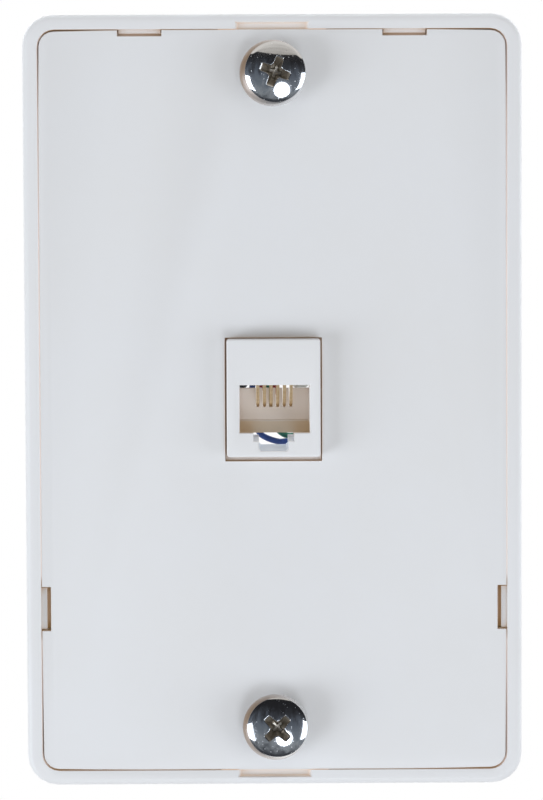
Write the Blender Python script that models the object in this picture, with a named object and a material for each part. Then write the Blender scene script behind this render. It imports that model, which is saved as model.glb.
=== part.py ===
"""Telephone wall socket: a snap-on cover in a moulded frame, a modular jack and two hanging studs.

Metres, +Z up. The front faces -Y and the wall plane is Y = 0, with the origin in its middle.
"""

import math

import bmesh
import bpy
from mathutils import Vector

MM = 0.001

# Clearances
seam_gap = 0.27 * MM
fit_gap = 0.3 * MM
slide_gap = 0.15 * MM

# Frame
plate_width = 75.8 * MM
plate_height = 117.6 * MM
plate_depth = 8.0 * MM
plate_corner = 4.6 * MM
plate_edge = 0.9 * MM
border = 2.25 * MM
recess_corner = 2.6 * MM
web_thickness = 1.8 * MM
rear_hollow = 0.6 * MM
rear_rib_width = 1.5 * MM
rear_rib_inset = 4.5 * MM
rear_rib_end_gap = 5.55 * MM
cross_rib_gap = 3.85 * MM

# Screwdriver recesses in the border
pry_length = 11.3 * MM
pry_width = 1.13 * MM
pry_depth = 0.9 * MM
pry_taper = 0.5 * MM

# Holes for the box screws
box_slot_gap = 7.8 * MM
box_slot_width = 4.2 * MM
box_slot_length = 6.4 * MM
box_pad_border = 1.6 * MM
box_pad_height = 0.7 * MM
box_head_radius = 3.6 * MM

# Cover
cover_thickness = 1.9 * MM
cover_sink = 0.1 * MM
cover_edge = 0.12 * MM
cover_bow = 0.21 * MM
cover_rib_inset = 4.2 * MM
cover_rib_end_gap = 14.55 * MM
cover_rib_width = 1.2 * MM
cover_rib_height = 1.0 * MM
opening_margin = 0.27 * MM
opening_top_margin = 0.12 * MM
opening_bottom_margin = 0.83 * MM
keeper_width = 1.4 * MM
keeper_height = 0.4 * MM

# Snap catches
notch_length = 6.75 * MM
top_notch_depth = 1.05 * MM
side_notch_depth = 1.5 * MM
top_notch_inset = 15.55 * MM
side_notch_rise = 24.95 * MM
catch_margin = 0.2 * MM
top_catch_reach = 0.6 * MM
side_catch_reach = 0.9 * MM
catch_sink = 0.8 * MM
catch_thickness = 1.3 * MM
leg_length = 5.0 * MM
leg_thickness = 1.1 * MM
lip_thickness = 1.0 * MM
lip_margin = 0.4 * MM

# Hanging studs and their nuts
stud_inset = 9.35 * MM
stud_head_radius = 5.0 * MM
stud_dome_radius = 11.0 * MM
stud_edge_radius = 1.5 * MM
stud_head_land = 0.15 * MM
stud_standoff = 2.8 * MM
stud_neck_radius = 2.5 * MM
stud_shoulder_radius = 3.5 * MM
stud_shank_radius = 1.95 * MM
stud_tip_chamfer = 0.4 * MM
stud_boss_radius = 5.6 * MM
cover_stud_hole_radius = 3.9 * MM
upper_stud_turn = math.radians(-20)
lower_stud_turn = math.radians(45)
cross_arm_reach = 2.3 * MM
cross_arm_width = 1.3 * MM
cross_arm_tip_width = 1.2 * MM
cross_root_reach = 0.95 * MM
cross_root_width = 0.75 * MM
cross_depth = 2.2 * MM
cross_fillet = 0.26 * MM
nut_across_flats = 7.0 * MM
nut_thickness = 3.2 * MM
nut_chamfer = 0.35 * MM

# Jack housing
jack_width = 14.2 * MM
jack_height = 17.87 * MM
jack_centre_height = 0.7 * MM
jack_corner = 0.15 * MM
jack_edge = 0.25 * MM
jack_protrusion = 3.2 * MM
jack_rear = 4.0 * MM
collar_width = 1.2 * MM
collar_thickness = 1.0 * MM
skirt_sink = 0.7 * MM
skirt_gap = 0.1 * MM
port_width = 10.65 * MM
port_shift = 0.15 * MM
port_top = 2.67 * MM
port_bottom = -4.57 * MM
port_depth = 9.0 * MM
port_chamfer = 0.15 * MM
roof_thickness = 0.93 * MM
loft_height = 4.5 * MM
loft_front_wall = 1.6 * MM
wire_window_length = 2.0 * MM
wire_window_margin = 0.5 * MM
latch_step_width = 6.2 * MM
latch_step_depth = 1.2 * MM
latch_keel_width = 4.5 * MM
latch_keel_depth = 1.52 * MM
latch_keel_chamfer = 0.35 * MM
sill_height = 1.42 * MM
sill_lean = 0.9 * MM
sill_drop = 0.55 * MM
sill_lip = 1.0 * MM
port_lip = 1.2 * MM

# Contacts and their comb
contact_count = 6
contact_pitch = 1.02 * MM
contact_radius = 0.22 * MM
contact_bend_radius = 0.75 * MM
contact_tip_height = -0.88 * MM
contact_tail = 9.1 * MM
comb_height = 4.6 * MM
comb_thickness = 2.0 * MM
comb_play = 0.05 * MM
comb_shoulder = 0.5 * MM
comb_tongue = 0.5 * MM
comb_slot_width = 0.53 * MM
comb_slot_shift = -0.025 * MM
comb_slot_end_gap = 0.02 * MM

# Terminal block
flange_thickness = 2.0 * MM
flange_corner = 3.0 * MM
flange_lap = 2.4 * MM
window_corner = 1.4 * MM
ear_width = 13.0 * MM
ear_gap = 4.35 * MM
ear_reach = 5.5 * MM
ear_screw_inset = 3.3 * MM
sleeve_wall = 1.6 * MM
sleeve_rear = 2.4 * MM
terminal_rows = 3
terminal_height = 3.0 * MM
terminal_width = 8.6 * MM
bar_gap = 0.8 * MM
barrier_thickness = 1.4 * MM
barrier_height = 3.6 * MM
barrier_inset = 0.1 * MM

# Terminal screws and block screws
terminal_head_radius = 3.2 * MM
terminal_head_height = 2.0 * MM
terminal_shank_radius = 1.7 * MM
terminal_shank_length = 5.4 * MM
screw_slot_width = 0.9 * MM
screw_slot_depth = 1.0 * MM
block_head_radius = 2.8 * MM
block_head_height = 1.2 * MM
block_counterbore = 0.9 * MM
block_shank_radius = 1.3 * MM
block_shank_length = 3.3 * MM

# Leads and their spade lugs
lead_radius = 0.475 * MM
lead_steps = 2
lead_grid = 1.0 * MM
lead_sweep = 2.6 * MM
lug_thickness = 0.6 * MM
lug_fork_radius = 3.0 * MM
lug_slot_radius = 2.0 * MM
lug_barrel_radius = 1.2 * MM
lug_barrel_bore = 0.78 * MM
lug_barrel_length = 3.8 * MM
lug_barrel_reach = 7.7 * MM
lug_gap = 0.8 * MM

# Facets
corner_steps = 5
side_steps = 10
edge_steps = 3
round_segments = 32
small_segments = 16

# Planes and places that follow from the sizes above
frame_front = -plate_depth
web_front = -rear_hollow - web_thickness
web_rear = -rear_hollow
recess_width = plate_width - 2 * border
recess_height = plate_height - 2 * border
cover_width = recess_width - 2 * seam_gap
cover_height = recess_height - 2 * seam_gap
rear_rib_offset = recess_width / 2 - rear_rib_inset
cover_rib_offset = recess_width / 2 - cover_rib_inset
top_notch_offset = recess_width / 2 - top_notch_inset
side_notch_height = side_notch_rise - recess_height / 2
stud_height = plate_height / 2 - stud_inset
box_slot_height = stud_height - box_slot_gap
box_pad_end = box_slot_height - box_slot_length / 2 - box_pad_border
cross_rib_offset = box_pad_end - cross_rib_gap
cover_front = frame_front + cover_sink
cover_rear = cover_front + cover_thickness
ear_end = box_pad_end - ear_gap
ear_screw_offset = ear_end - ear_screw_inset
sleeve_width = jack_width + 2 * (fit_gap + sleeve_wall)
sleeve_height = jack_height + 2 * (fit_gap + sleeve_wall)
terminal_offset = sleeve_width / 2 + lug_gap + lug_barrel_reach
window_width = 2 * (terminal_offset + terminal_width / 2 + bar_gap)
flange_width = window_width + 2 * flange_lap
flange_height = 2 * (ear_end - ear_reach)
window_height = flange_height - 2 * flange_lap
bar_height = window_height - 2 * bar_gap
terminal_pitch = (bar_height - barrier_thickness) / terminal_rows
flange_rear = web_front - fit_gap
flange_front = flange_rear - flange_thickness
jack_front = cover_front - jack_protrusion
jack_top = jack_centre_height + jack_height / 2
jack_bottom = jack_centre_height - jack_height / 2
keeper_rear = cover_rear + keeper_height
collar_front = keeper_rear + fit_gap
collar_rear = collar_front + collar_thickness
port_rear = jack_front + port_depth
sill_top = port_bottom + sill_height
comb_front = port_rear + comb_play
comb_rear = comb_front + comb_thickness
comb_bottom = sill_top + comb_play
comb_groove = sill_top - comb_tongue - fit_gap
roof_top = port_top + roof_thickness
loft_front = jack_front + loft_front_wall
terminal_rear = terminal_height
lug_front = terminal_rear + fit_gap
lug_rear = lug_front + lug_thickness
screw_seat = lug_rear + fit_gap
boss_front = cover_rear + fit_gap
nut_front = web_rear - nut_thickness
head_rear = cover_front - stud_standoff

white_plastic = ("white_plastic", (0.72, 0.73, 0.75), 0.35, 0.0)
ivory_plastic = ("ivory_plastic", (0.62, 0.52, 0.42), 0.45, 0.0)
grey_plastic = ("grey_plastic", (0.45, 0.45, 0.44), 0.5, 0.0)
polished_chrome = ("polished_chrome", (0.80, 0.80, 0.81), 0.06, 1.0)
plated_steel = ("plated_steel", (0.62, 0.62, 0.60), 0.3, 1.0)
gold_wire = ("gold_wire", (0.83, 0.60, 0.28), 0.2, 1.0)
tinned_brass = ("tinned_brass", (0.70, 0.66, 0.55), 0.35, 1.0)
lead_finishes = (
    ("blue_lead", ("blue_insulation", (0.02, 0.08, 0.35), 0.4, 0.0)),
    ("yellow_lead", ("yellow_insulation", (0.75, 0.50, 0.03), 0.4, 0.0)),
    ("green_lead", ("green_insulation", (0.02, 0.22, 0.12), 0.4, 0.0)),
    ("red_lead", ("red_insulation", (0.45, 0.02, 0.02), 0.4, 0.0)),
    ("black_lead", ("black_insulation", (0.02, 0.02, 0.02), 0.4, 0.0)),
    ("white_lead", ("white_insulation", (0.75, 0.74, 0.70), 0.4, 0.0)),
)


def clear_scene():
    for item in list(bpy.data.objects):
        bpy.data.objects.remove(item, do_unlink=True)


def finish_of(entry):
    """The material for a finish of name, colour, roughness and metallic value."""
    name, colour, roughness, metallic = entry
    found = bpy.data.materials.get(name)
    if found:
        return found
    made = bpy.data.materials.new(name)
    made.use_nodes = True
    shader = made.node_tree.nodes["Principled BSDF"]
    shader.inputs["Base Color"].default_value = (*colour, 1.0)
    shader.inputs["Roughness"].default_value = roughness
    shader.inputs["Metallic"].default_value = metallic
    return made


def place(name, mesh, finish=None):
    piece = bpy.data.objects.new(name, mesh)
    bpy.context.scene.collection.objects.link(piece)
    if finish:
        mesh.materials.append(finish_of(finish))
    return piece


def close_mesh(name, bm):
    bmesh.ops.recalc_face_normals(bm, faces=bm.faces)
    mesh = bpy.data.meshes.new(name)
    bm.to_mesh(mesh)
    bm.free()
    return mesh


def smooth(piece, degrees=35):
    piece.data.shade_smooth()
    piece.data.set_sharp_from_angle(angle=math.radians(degrees))


def loft(name, rings, finish=None):
    """A closed skin through rings of equally many points, with a flat cap on the first and last."""
    bm = bmesh.new()
    rows = [[bm.verts.new(point) for point in ring] for ring in rings]
    count = len(rows[0])
    for lower, upper in zip(rows, rows[1:]):
        for i in range(count):
            k = (i + 1) % count
            bm.faces.new((lower[i], lower[k], upper[k], upper[i]))
    bm.faces.new(rows[0])
    bm.faces.new(rows[-1])
    return place(name, close_mesh(name, bm), finish)


def rounded_rectangle(width, height, radius, steps=corner_steps, bow=0.0):
    """Outline points (x, z) of a rectangle whose corners are quarter circles and whose sides may bow out."""
    points = []
    for quarter, (sx, sz) in enumerate(((1, 1), (-1, 1), (-1, -1), (1, -1))):
        for step in range(steps + 1):
            angle = math.pi / 2 * (quarter + step / steps)
            x = sx * (width / 2 - radius) + radius * math.cos(angle)
            z = sz * (height / 2 - radius) + radius * math.sin(angle)
            points.append((x, z))
        if bow:
            points += bowed_side(width, height, radius, quarter, bow)
    return points


def bowed_side(width, height, radius, quarter, bow):
    """Points of the side after a quarter's corner, which stands out by bow over most of its length."""
    points = []
    upright = quarter % 2
    half = (height if upright else width) / 2 - radius
    reach = (width if upright else height) / 2
    outward = -1 if quarter in (1, 2) else 1
    travel = -1 if quarter in (0, 1) else 1
    for step in range(1, side_steps):
        share = 2 * step / side_steps - 1
        along = travel * half * share
        across = outward * (reach + bow * (1 - share**4))
        points.append((across, along) if upright else (along, across))
    return points


def at_depth(outline, y, x=0.0, z=0.0):
    return [Vector((x + px, y, z + pz)) for px, pz in outline]


def prism(name, outline, front, rear, finish=None, x=0.0, z=0.0):
    return loft(name, [at_depth(outline, front, x, z), at_depth(outline, rear, x, z)], finish)


def block(name, low, high, finish=None):
    width = high[0] - low[0]
    height = high[2] - low[2]
    outline = [(0, 0), (width, 0), (width, height), (0, height)]
    return prism(name, outline, low[1], high[1], finish, low[0], low[2])


def across_prism(name, outline, low_x, high_x):
    """A prism along X whose outline is given as (y, z) points."""
    return loft(name, [[Vector((x, y, z)) for y, z in outline] for x in (low_x, high_x)])


def eased_plate(name, width, height, corner, edge, front, rear, finish=None, z=0.0, bow=0.0):
    """A rounded rectangle from rear to front, whose front edge is a quarter circle of radius edge."""
    rings = []
    for step in range(edge_steps + 1):
        angle = math.pi / 2 * step / edge_steps
        inset = edge * (1 - math.sin(angle))
        depth = front + edge * (1 - math.cos(angle))
        outline = rounded_rectangle(width - 2 * inset, height - 2 * inset, corner - inset, bow=bow)
        rings.append(at_depth(outline, depth, z=z))
    rings.append(at_depth(rounded_rectangle(width, height, corner, bow=bow), rear, z=z))
    return loft(name, rings, finish)


def circle(radius, segments, turn=0.0):
    angles = [turn + 2 * math.pi * i / segments for i in range(segments)]
    return [(radius * math.cos(a), radius * math.sin(a)) for a in angles]


def cylinder(name, radius, front, rear, x=0.0, z=0.0, segments=small_segments, finish=None):
    return prism(name, circle(radius, segments), front, rear, finish, x, z)


def turned(name, profile, x, z, segments, finish=None):
    """The profile's (radius, y) points turned about the line through (x, z) along Y."""
    bm = bmesh.new()
    verts = [bm.verts.new((x + radius, y, z)) for radius, y in profile]
    edges = [bm.edges.new(pair) for pair in zip(verts, verts[1:])]
    bmesh.ops.spin(
        bm,
        geom=verts + edges,
        cent=(x, 0, z),
        axis=(0, 1, 0),
        angle=2 * math.pi,
        steps=segments,
        use_merge=True,
    )
    bmesh.ops.remove_doubles(bm, verts=bm.verts, dist=1e-6)
    return place(name, close_mesh(name, bm), finish)


def combine(piece, other, operation):
    other.hide_render = True
    other.display_type = "WIRE"
    modifier = piece.modifiers.new(other.name, "BOOLEAN")
    modifier.operation = operation
    modifier.solver = "EXACT"
    modifier.object = other


def cut(piece, *cutters):
    for cutter in cutters:
        combine(piece, cutter, "DIFFERENCE")


def join(piece, *others):
    for other in others:
        combine(piece, other, "UNION")


def mirrored_pair(maker):
    """Both copies that a maker gives for the two signs of one axis."""
    return [maker(sign) for sign in (-1, 1)]


# The overlap by which a cutter passes a face and a joined shape sinks into its carrier
over = 0.5 * MM

# The step between faces that would otherwise coincide
hair = 0.01 * MM


def slot_outline(width, length, steps=corner_steps):
    return rounded_rectangle(width, length, width / 2 - hair, steps)


def snap_places():
    """Each snap's name, its middle on the recess wall, its outward direction and its notch and catch depths."""
    places = []
    for sign in (-1, 1):
        middle = Vector((sign * top_notch_offset, 0, recess_height / 2))
        places.append((f"top_{sign}", middle, Vector((0, 0, 1)), top_notch_depth, top_catch_reach))
        middle = Vector((sign * recess_width / 2, 0, side_notch_height))
        places.append((f"side_{sign}", middle, Vector((sign, 0, 0)), side_notch_depth, side_catch_reach))
    return places


def snap_block(name, middle, outward, near, far, length, front, rear):
    """A block from near to far along the outward direction, of the given length across it."""
    across = Vector((outward.z, 0, outward.x)) * (length / 2)
    ends = [middle + outward * reach + side for reach in (near, far) for side in (across, -across)]
    low = (min(p.x for p in ends), front, min(p.z for p in ends))
    high = (max(p.x for p in ends), rear, max(p.z for p in ends))
    return block(name, low, high)


def pry_cutter(sign):
    """A recess in the inner half of the border that narrows towards its floor."""
    rings = []
    for depth, shrink in ((frame_front - over, 0.0), (frame_front, 0.0), (frame_front + pry_depth, pry_taper)):
        half = pry_length / 2 - shrink
        near = recess_height / 2 - over
        far = recess_height / 2 + pry_width - shrink / 2
        outline = [(-half, near), (half, near), (half, far), (-half, far)]
        rings.append([Vector((x, depth, sign * z)) for x, z in outline])
    return loft(f"pry_cutter_{sign}", rings)


def make_frame():
    frame = eased_plate(
        "frame", plate_width, plate_height, plate_corner, plate_edge, frame_front, 0, white_plastic
    )
    recess = rounded_rectangle(recess_width, recess_height, recess_corner)
    cut(
        frame,
        prism("recess_cutter", recess, frame_front - over, web_front),
        prism("rear_hollow_cutter", recess, web_rear, over),
    )
    rib_front = web_rear - over
    rib_end = recess_height / 2 - rear_rib_end_gap
    join(
        frame,
        *mirrored_pair(
            lambda sign: block(
                f"rear_rib_{sign}",
                (sign * rear_rib_offset - rear_rib_width / 2, rib_front, -rib_end),
                (sign * rear_rib_offset + rear_rib_width / 2, 0, rib_end),
            )
        ),
        *mirrored_pair(
            lambda sign: block(
                f"cross_rib_{sign}",
                (-rear_rib_offset, rib_front, sign * cross_rib_offset - rear_rib_width / 2),
                (rear_rib_offset, -rear_hollow / 4, sign * cross_rib_offset + rear_rib_width / 2),
            )
        ),
    )
    for sign in (-1, 1):
        stud_z = sign * stud_height
        screw_z = sign * box_slot_height
        pad = slot_outline(box_slot_width + 2 * box_pad_border, box_slot_length + 2 * box_pad_border)
        join(
            frame,
            cylinder(f"stud_boss_{sign}", stud_boss_radius, boss_front, web_rear - over, z=stud_z),
            prism(f"box_pad_{sign}", pad, web_front - box_pad_height, web_rear - over, z=screw_z),
        )
        cut(
            frame,
            cylinder(
                f"stud_hole_cutter_{sign}",
                stud_shank_radius + fit_gap,
                boss_front - over,
                over,
                z=stud_z,
            ),
            prism(
                f"nut_pocket_cutter_{sign}",
                circle((nut_across_flats / 2 + slide_gap) / math.cos(math.pi / 6), 6),
                nut_front - fit_gap,
                over,
                z=stud_z,
            ),
            cylinder(
                f"box_head_cutter_{sign}",
                box_head_radius,
                boss_front - over,
                web_front - box_pad_height,
                z=screw_z,
                segments=28,
            ),
            prism(
                f"box_slot_cutter_{sign}",
                slot_outline(box_slot_width, box_slot_length),
                web_front - box_pad_height - over,
                over,
                z=screw_z,
            ),
            cylinder(
                f"block_screw_cutter_{sign}",
                block_shank_radius + fit_gap,
                web_front - over,
                over,
                z=sign * ear_screw_offset,
            ),
            pry_cutter(sign),
        )
    window = rounded_rectangle(window_width, window_height, window_corner)
    cut(frame, prism("window_cutter", window, web_front - over, over))
    catch_front = frame_front + catch_sink
    for name, middle, outward, notch, reach in snap_places():
        hole = snap_block(
            f"{name}_hole_cutter",
            middle,
            outward,
            -notch,
            -slide_gap,
            notch_length,
            web_front - over,
            over,
        )
        cut(frame, hole)
        catch = snap_block(
            f"{name}_catch",
            middle,
            outward,
            -reach,
            over,
            notch_length - 2 * catch_margin,
            catch_front,
            catch_front + catch_thickness,
        )
        join(frame, catch)
    smooth(frame)
    return frame


def opening_outline():
    """The cover's opening for the jack, wider below it than above."""
    half = jack_width / 2 + opening_margin
    top = jack_top + opening_top_margin
    bottom = jack_bottom - opening_bottom_margin
    return [(-half, bottom), (half, bottom), (half, top), (-half, top)]


def make_cover():
    cover = eased_plate(
        "cover",
        cover_width,
        cover_height,
        recess_corner - seam_gap,
        cover_edge,
        cover_front,
        cover_rear,
        white_plastic,
        bow=cover_bow,
    )
    half = jack_width / 2 + opening_margin + keeper_width
    keeper = block(
        "jack_keeper",
        (-half, cover_rear - over, jack_bottom - opening_bottom_margin - keeper_width),
        (half, keeper_rear, jack_top + opening_top_margin + keeper_width),
    )
    join(cover, keeper)
    rib_end = recess_height / 2 - cover_rib_end_gap
    join(
        cover,
        *mirrored_pair(
            lambda sign: block(
                f"cover_rib_{sign}",
                (
                    sign * cover_rib_offset - cover_rib_width / 2,
                    cover_rear - over,
                    -rib_end,
                ),
                (
                    sign * cover_rib_offset + cover_rib_width / 2,
                    cover_rear + cover_rib_height,
                    rib_end,
                ),
            )
        ),
    )
    lip_front = frame_front + catch_sink + catch_thickness + fit_gap
    for name, middle, outward, notch, reach in snap_places():
        cut(
            cover,
            snap_block(
                f"{name}_notch_cutter",
                middle,
                outward,
                -notch,
                over,
                notch_length,
                cover_front - over,
                cover_rear + over,
            ),
        )
        leg_rear = lip_front + lip_thickness
        join(
            cover,
            snap_block(
                f"{name}_leg",
                middle,
                outward,
                -notch - leg_thickness,
                -notch,
                leg_length,
                cover_rear - over,
                leg_rear,
            ),
            snap_block(
                f"{name}_lip",
                middle,
                outward,
                -notch - leg_thickness / 2,
                -lip_margin,
                leg_length,
                lip_front,
                leg_rear,
            ),
        )
    opening = opening_outline()
    cut(
        cover,
        prism("opening_cutter", opening, cover_front - over, keeper_rear + over),
        *mirrored_pair(
            lambda sign: cylinder(
                f"cover_hole_cutter_{sign}",
                cover_stud_hole_radius,
                cover_front - over,
                cover_rear + over,
                z=sign * stud_height,
                segments=28,
            )
        ),
    )
    smooth(cover)
    return cover


def cross_outline(reach, width, tip_width, fillet, turn):
    """A cross of four tapered arms with a chamfer in each inner corner."""
    points = []
    for arm in range(4):
        angle = turn + arm * math.pi / 2
        along = Vector((math.cos(angle), math.sin(angle)))
        side = Vector((-along.y, along.x))
        root = width / 2 + fillet
        for reach_out, half in ((root, -width / 2), (reach, -tip_width / 2), (reach, tip_width / 2), (root, width / 2)):
            point = along * reach_out + side * half
            points.append((point.x, point.y))
    return points


def cross_cutter(name, z, turn, dome_front):
    """The screwdriver recess: a cross whose arms run in towards its floor."""
    mouth = dome_front
    floor = dome_front + cross_depth
    rise = over / cross_depth
    rings = []
    for depth, share in ((mouth - over, -rise), (mouth, 0.0), (floor, 1.0)):
        reach = cross_arm_reach + share * (cross_root_reach - cross_arm_reach)
        width = cross_arm_width + share * (cross_root_width - cross_arm_width)
        tip = cross_arm_tip_width + share * (cross_root_width * 0.7 - cross_arm_tip_width)
        fillet = cross_fillet * (1 - 0.8 * share)
        outline = cross_outline(reach, width, tip, fillet, turn)
        rings.append(at_depth(outline, depth, z=z))
    return loft(name, rings)


def stud_profile():
    """A dome, a rounded edge that meets it tangentially, a flat underside, a neck, a shoulder and a shank."""
    edge_centre = stud_head_radius - stud_edge_radius
    tangent = math.asin(edge_centre / (stud_dome_radius - stud_edge_radius))
    dome_centre_drop = stud_dome_radius
    edge_drop = dome_centre_drop - (stud_dome_radius - stud_edge_radius) * math.cos(tangent)
    apex = head_rear - stud_head_land - edge_drop
    profile = [(0.0, apex)]
    dome_steps = 5
    for step in range(1, dome_steps + 1):
        angle = tangent * step / dome_steps
        profile.append((stud_dome_radius * math.sin(angle), apex + stud_dome_radius * (1 - math.cos(angle))))
    rim_steps = 5
    for step in range(1, rim_steps + 1):
        angle = tangent + (math.pi / 2 - tangent) * step / rim_steps
        profile.append(
            (
                edge_centre + stud_edge_radius * math.sin(angle),
                apex + edge_drop - stud_edge_radius * math.cos(angle),
            )
        )
    shoulder_rear = boss_front - fit_gap
    tip = web_rear
    profile += [
        (stud_head_radius, head_rear),
        (stud_neck_radius, head_rear),
        (stud_neck_radius, cover_front),
        (stud_shoulder_radius, cover_front),
        (stud_shoulder_radius, shoulder_rear),
        (stud_shank_radius, shoulder_rear),
        (stud_shank_radius, tip - stud_tip_chamfer),
        (stud_shank_radius - stud_tip_chamfer, tip),
        (0.0, tip),
    ]
    return profile, apex


def make_stud(name, sign, turn):
    profile, apex = stud_profile()
    z = sign * stud_height
    stud = turned(name, profile, 0, z, round_segments, polished_chrome)
    cut(stud, cross_cutter(f"{name}_cross_cutter", z, turn, apex))
    smooth(stud, 30)
    return stud


def make_nut(name, sign):
    """A hexagon whose corners are taken off at both faces."""
    z = sign * stud_height
    corner = nut_across_flats / 2 / math.cos(math.pi / 6)
    rear = web_rear
    rings = []
    for y, radius in (
        (nut_front, corner - nut_chamfer),
        (nut_front + nut_chamfer / 2, corner),
        (rear - nut_chamfer / 2, corner),
        (rear, corner - nut_chamfer),
    ):
        rings.append(at_depth(circle(radius, 6), y, z=z))
    nut = loft(name, rings, plated_steel)
    bore = stud_shank_radius + slide_gap
    cut(nut, cylinder(f"{name}_bore_cutter", bore, nut_front - over, rear + over, z=z))
    return nut


def latch_outline():
    """The port with the stepped notch for the plug's latch below it."""
    half = port_width / 2
    step = latch_step_width / 2
    keel = latch_keel_width / 2
    step_floor = port_bottom - latch_step_depth
    keel_floor = step_floor - latch_keel_depth
    notch_left = [
        (-step, port_bottom),
        (-step, step_floor),
        (-keel, step_floor),
        (-keel, keel_floor + latch_keel_chamfer),
        (-keel + latch_keel_chamfer, keel_floor),
    ]
    notch = notch_left + [(-x, z) for x, z in reversed(notch_left)]
    left = [(port_shift - half, port_top), (port_shift - half, port_bottom)]
    right = [(port_shift + half, port_bottom), (port_shift + half, port_top)]
    return left + notch + right


def make_housing():
    housing = eased_plate(
        "jack_housing",
        jack_width,
        jack_height,
        jack_corner + jack_edge,
        jack_edge,
        jack_front,
        jack_rear,
        white_plastic,
        z=jack_centre_height,
    )
    collar = rounded_rectangle(jack_width + 2 * collar_width, jack_height + 2 * collar_width, jack_corner, 2)
    skirt_half = jack_width / 2 + opening_margin - skirt_gap
    join(
        housing,
        prism("jack_collar", collar, collar_front, collar_rear, z=jack_centre_height),
        block(
            "jack_skirt",
            (-skirt_half, cover_front + skirt_sink, jack_bottom - opening_bottom_margin + skirt_gap),
            (skirt_half, collar_front + over, jack_top + opening_top_margin - skirt_gap),
        ),
    )
    outline = latch_outline()
    centre_z = (port_top + port_bottom) / 2
    wider = [(x + math.copysign(port_chamfer, x), z + math.copysign(port_chamfer, z - centre_z)) for x, z in outline]
    port = loft(
        "port_cutter",
        [
            at_depth(wider, jack_front - over),
            at_depth(wider, jack_front),
            at_depth(outline, jack_front + port_chamfer),
            at_depth(outline, port_rear),
        ],
    )
    half = port_width / 2
    step = latch_step_width / 2
    keel = latch_keel_width / 2
    step_floor = port_bottom - latch_step_depth
    keel_floor = step_floor - latch_keel_depth
    tunnel_top = port_bottom - sill_drop
    tunnel = [
        (-step, tunnel_top),
        (-step, step_floor),
        (-keel, step_floor),
        (-keel, keel_floor + latch_keel_chamfer),
        (-keel + latch_keel_chamfer, keel_floor),
        (keel - latch_keel_chamfer, keel_floor),
        (keel, keel_floor + latch_keel_chamfer),
        (keel, step_floor),
        (step, step_floor),
        (step, tunnel_top),
    ]
    throat_top = roof_top - roof_thickness / 2
    sill_foot = port_rear + sill_lean
    throat = [
        (port_rear - over - sill_lean, throat_top),
        (jack_rear + over, throat_top),
        (jack_rear + over, sill_top),
        (port_rear, sill_top),
        (sill_foot, port_bottom),
        (port_rear - over - sill_lean, port_bottom),
    ]
    floor_start = jack_front + port_lip
    floor_drop = [
        (floor_start, port_bottom + sill_height / 8),
        (port_rear + sill_lean / 2, port_bottom + sill_height / 8),
        (sill_foot, port_bottom),
        (sill_foot, tunnel_top + hair),
        (floor_start, tunnel_top + hair),
    ]
    latch_throat = [
        (port_rear - over, port_bottom + sill_height / 8),
        (port_rear + sill_lean / 2, port_bottom + sill_height / 8),
        (sill_foot, port_bottom),
        (sill_foot, tunnel_top - over / 2),
        (port_rear - over, tunnel_top - over / 2),
    ]
    window_half = (contact_count - 1) / 2 * contact_pitch + wire_window_margin + contact_radius
    low_x = port_shift - half
    high_x = port_shift + half
    cut(
        housing,
        port,
        prism("latch_tunnel_cutter", tunnel, port_rear - over, jack_rear + over),
        across_prism("throat_cutter", throat, low_x, high_x),
        across_prism("floor_drop_cutter", floor_drop, low_x, high_x),
        across_prism("latch_throat_cutter", latch_throat, -step, step),
        block(
            "comb_seat_cutter",
            (low_x - comb_shoulder, port_rear, sill_top),
            (high_x + comb_shoulder, jack_rear + over, throat_top),
        ),
        block(
            "comb_groove_cutter",
            (low_x - comb_shoulder, port_rear + sill_lip, comb_groove),
            (high_x + comb_shoulder, jack_rear + over, sill_top + fit_gap),
        ),
        block("loft_cutter", (low_x, loft_front, roof_top), (high_x, jack_rear + over, roof_top + loft_height)),
        block(
            "throat_rise_cutter",
            (low_x, comb_rear, port_top - over),
            (high_x, jack_rear + over, roof_top + over),
        ),
        block(
            "wire_window_cutter",
            (port_shift - window_half, loft_front, port_top - over),
            (port_shift + window_half, loft_front + wire_window_length, roof_top + over),
        ),
    )
    smooth(housing)
    return housing


def contact_x(index):
    return port_shift + (index - (contact_count - 1) / 2) * contact_pitch


def make_comb():
    """The plate that the contacts' free ends move in, with one open slot for each."""
    half = port_width / 2 + comb_shoulder - slide_gap
    top = comb_bottom + comb_height
    tongue_front = port_rear + sill_lip + fit_gap
    comb = block(
        "contact_comb",
        (port_shift - half, comb_front, comb_bottom),
        (port_shift + half, comb_rear, top),
        ivory_plastic,
    )
    tongue = block(
        "comb_tongue",
        (port_shift - half, tongue_front, comb_groove + fit_gap),
        (port_shift + half, comb_rear, comb_bottom + over),
    )
    join(comb, tongue)
    slot_end = contact_tip_height - contact_radius - comb_slot_end_gap
    for index in range(contact_count):
        x = contact_x(index) + comb_slot_shift
        cut(
            comb,
            block(
                f"comb_slot_cutter_{index + 1}",
                (x - comb_slot_width / 2, comb_front - over, slot_end),
                (x + comb_slot_width / 2, comb_rear + over, top + over),
            ),
        )
    return comb


def contact_start():
    return Vector((0, loft_front + contact_tail, roof_top + fit_gap + contact_radius))


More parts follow.
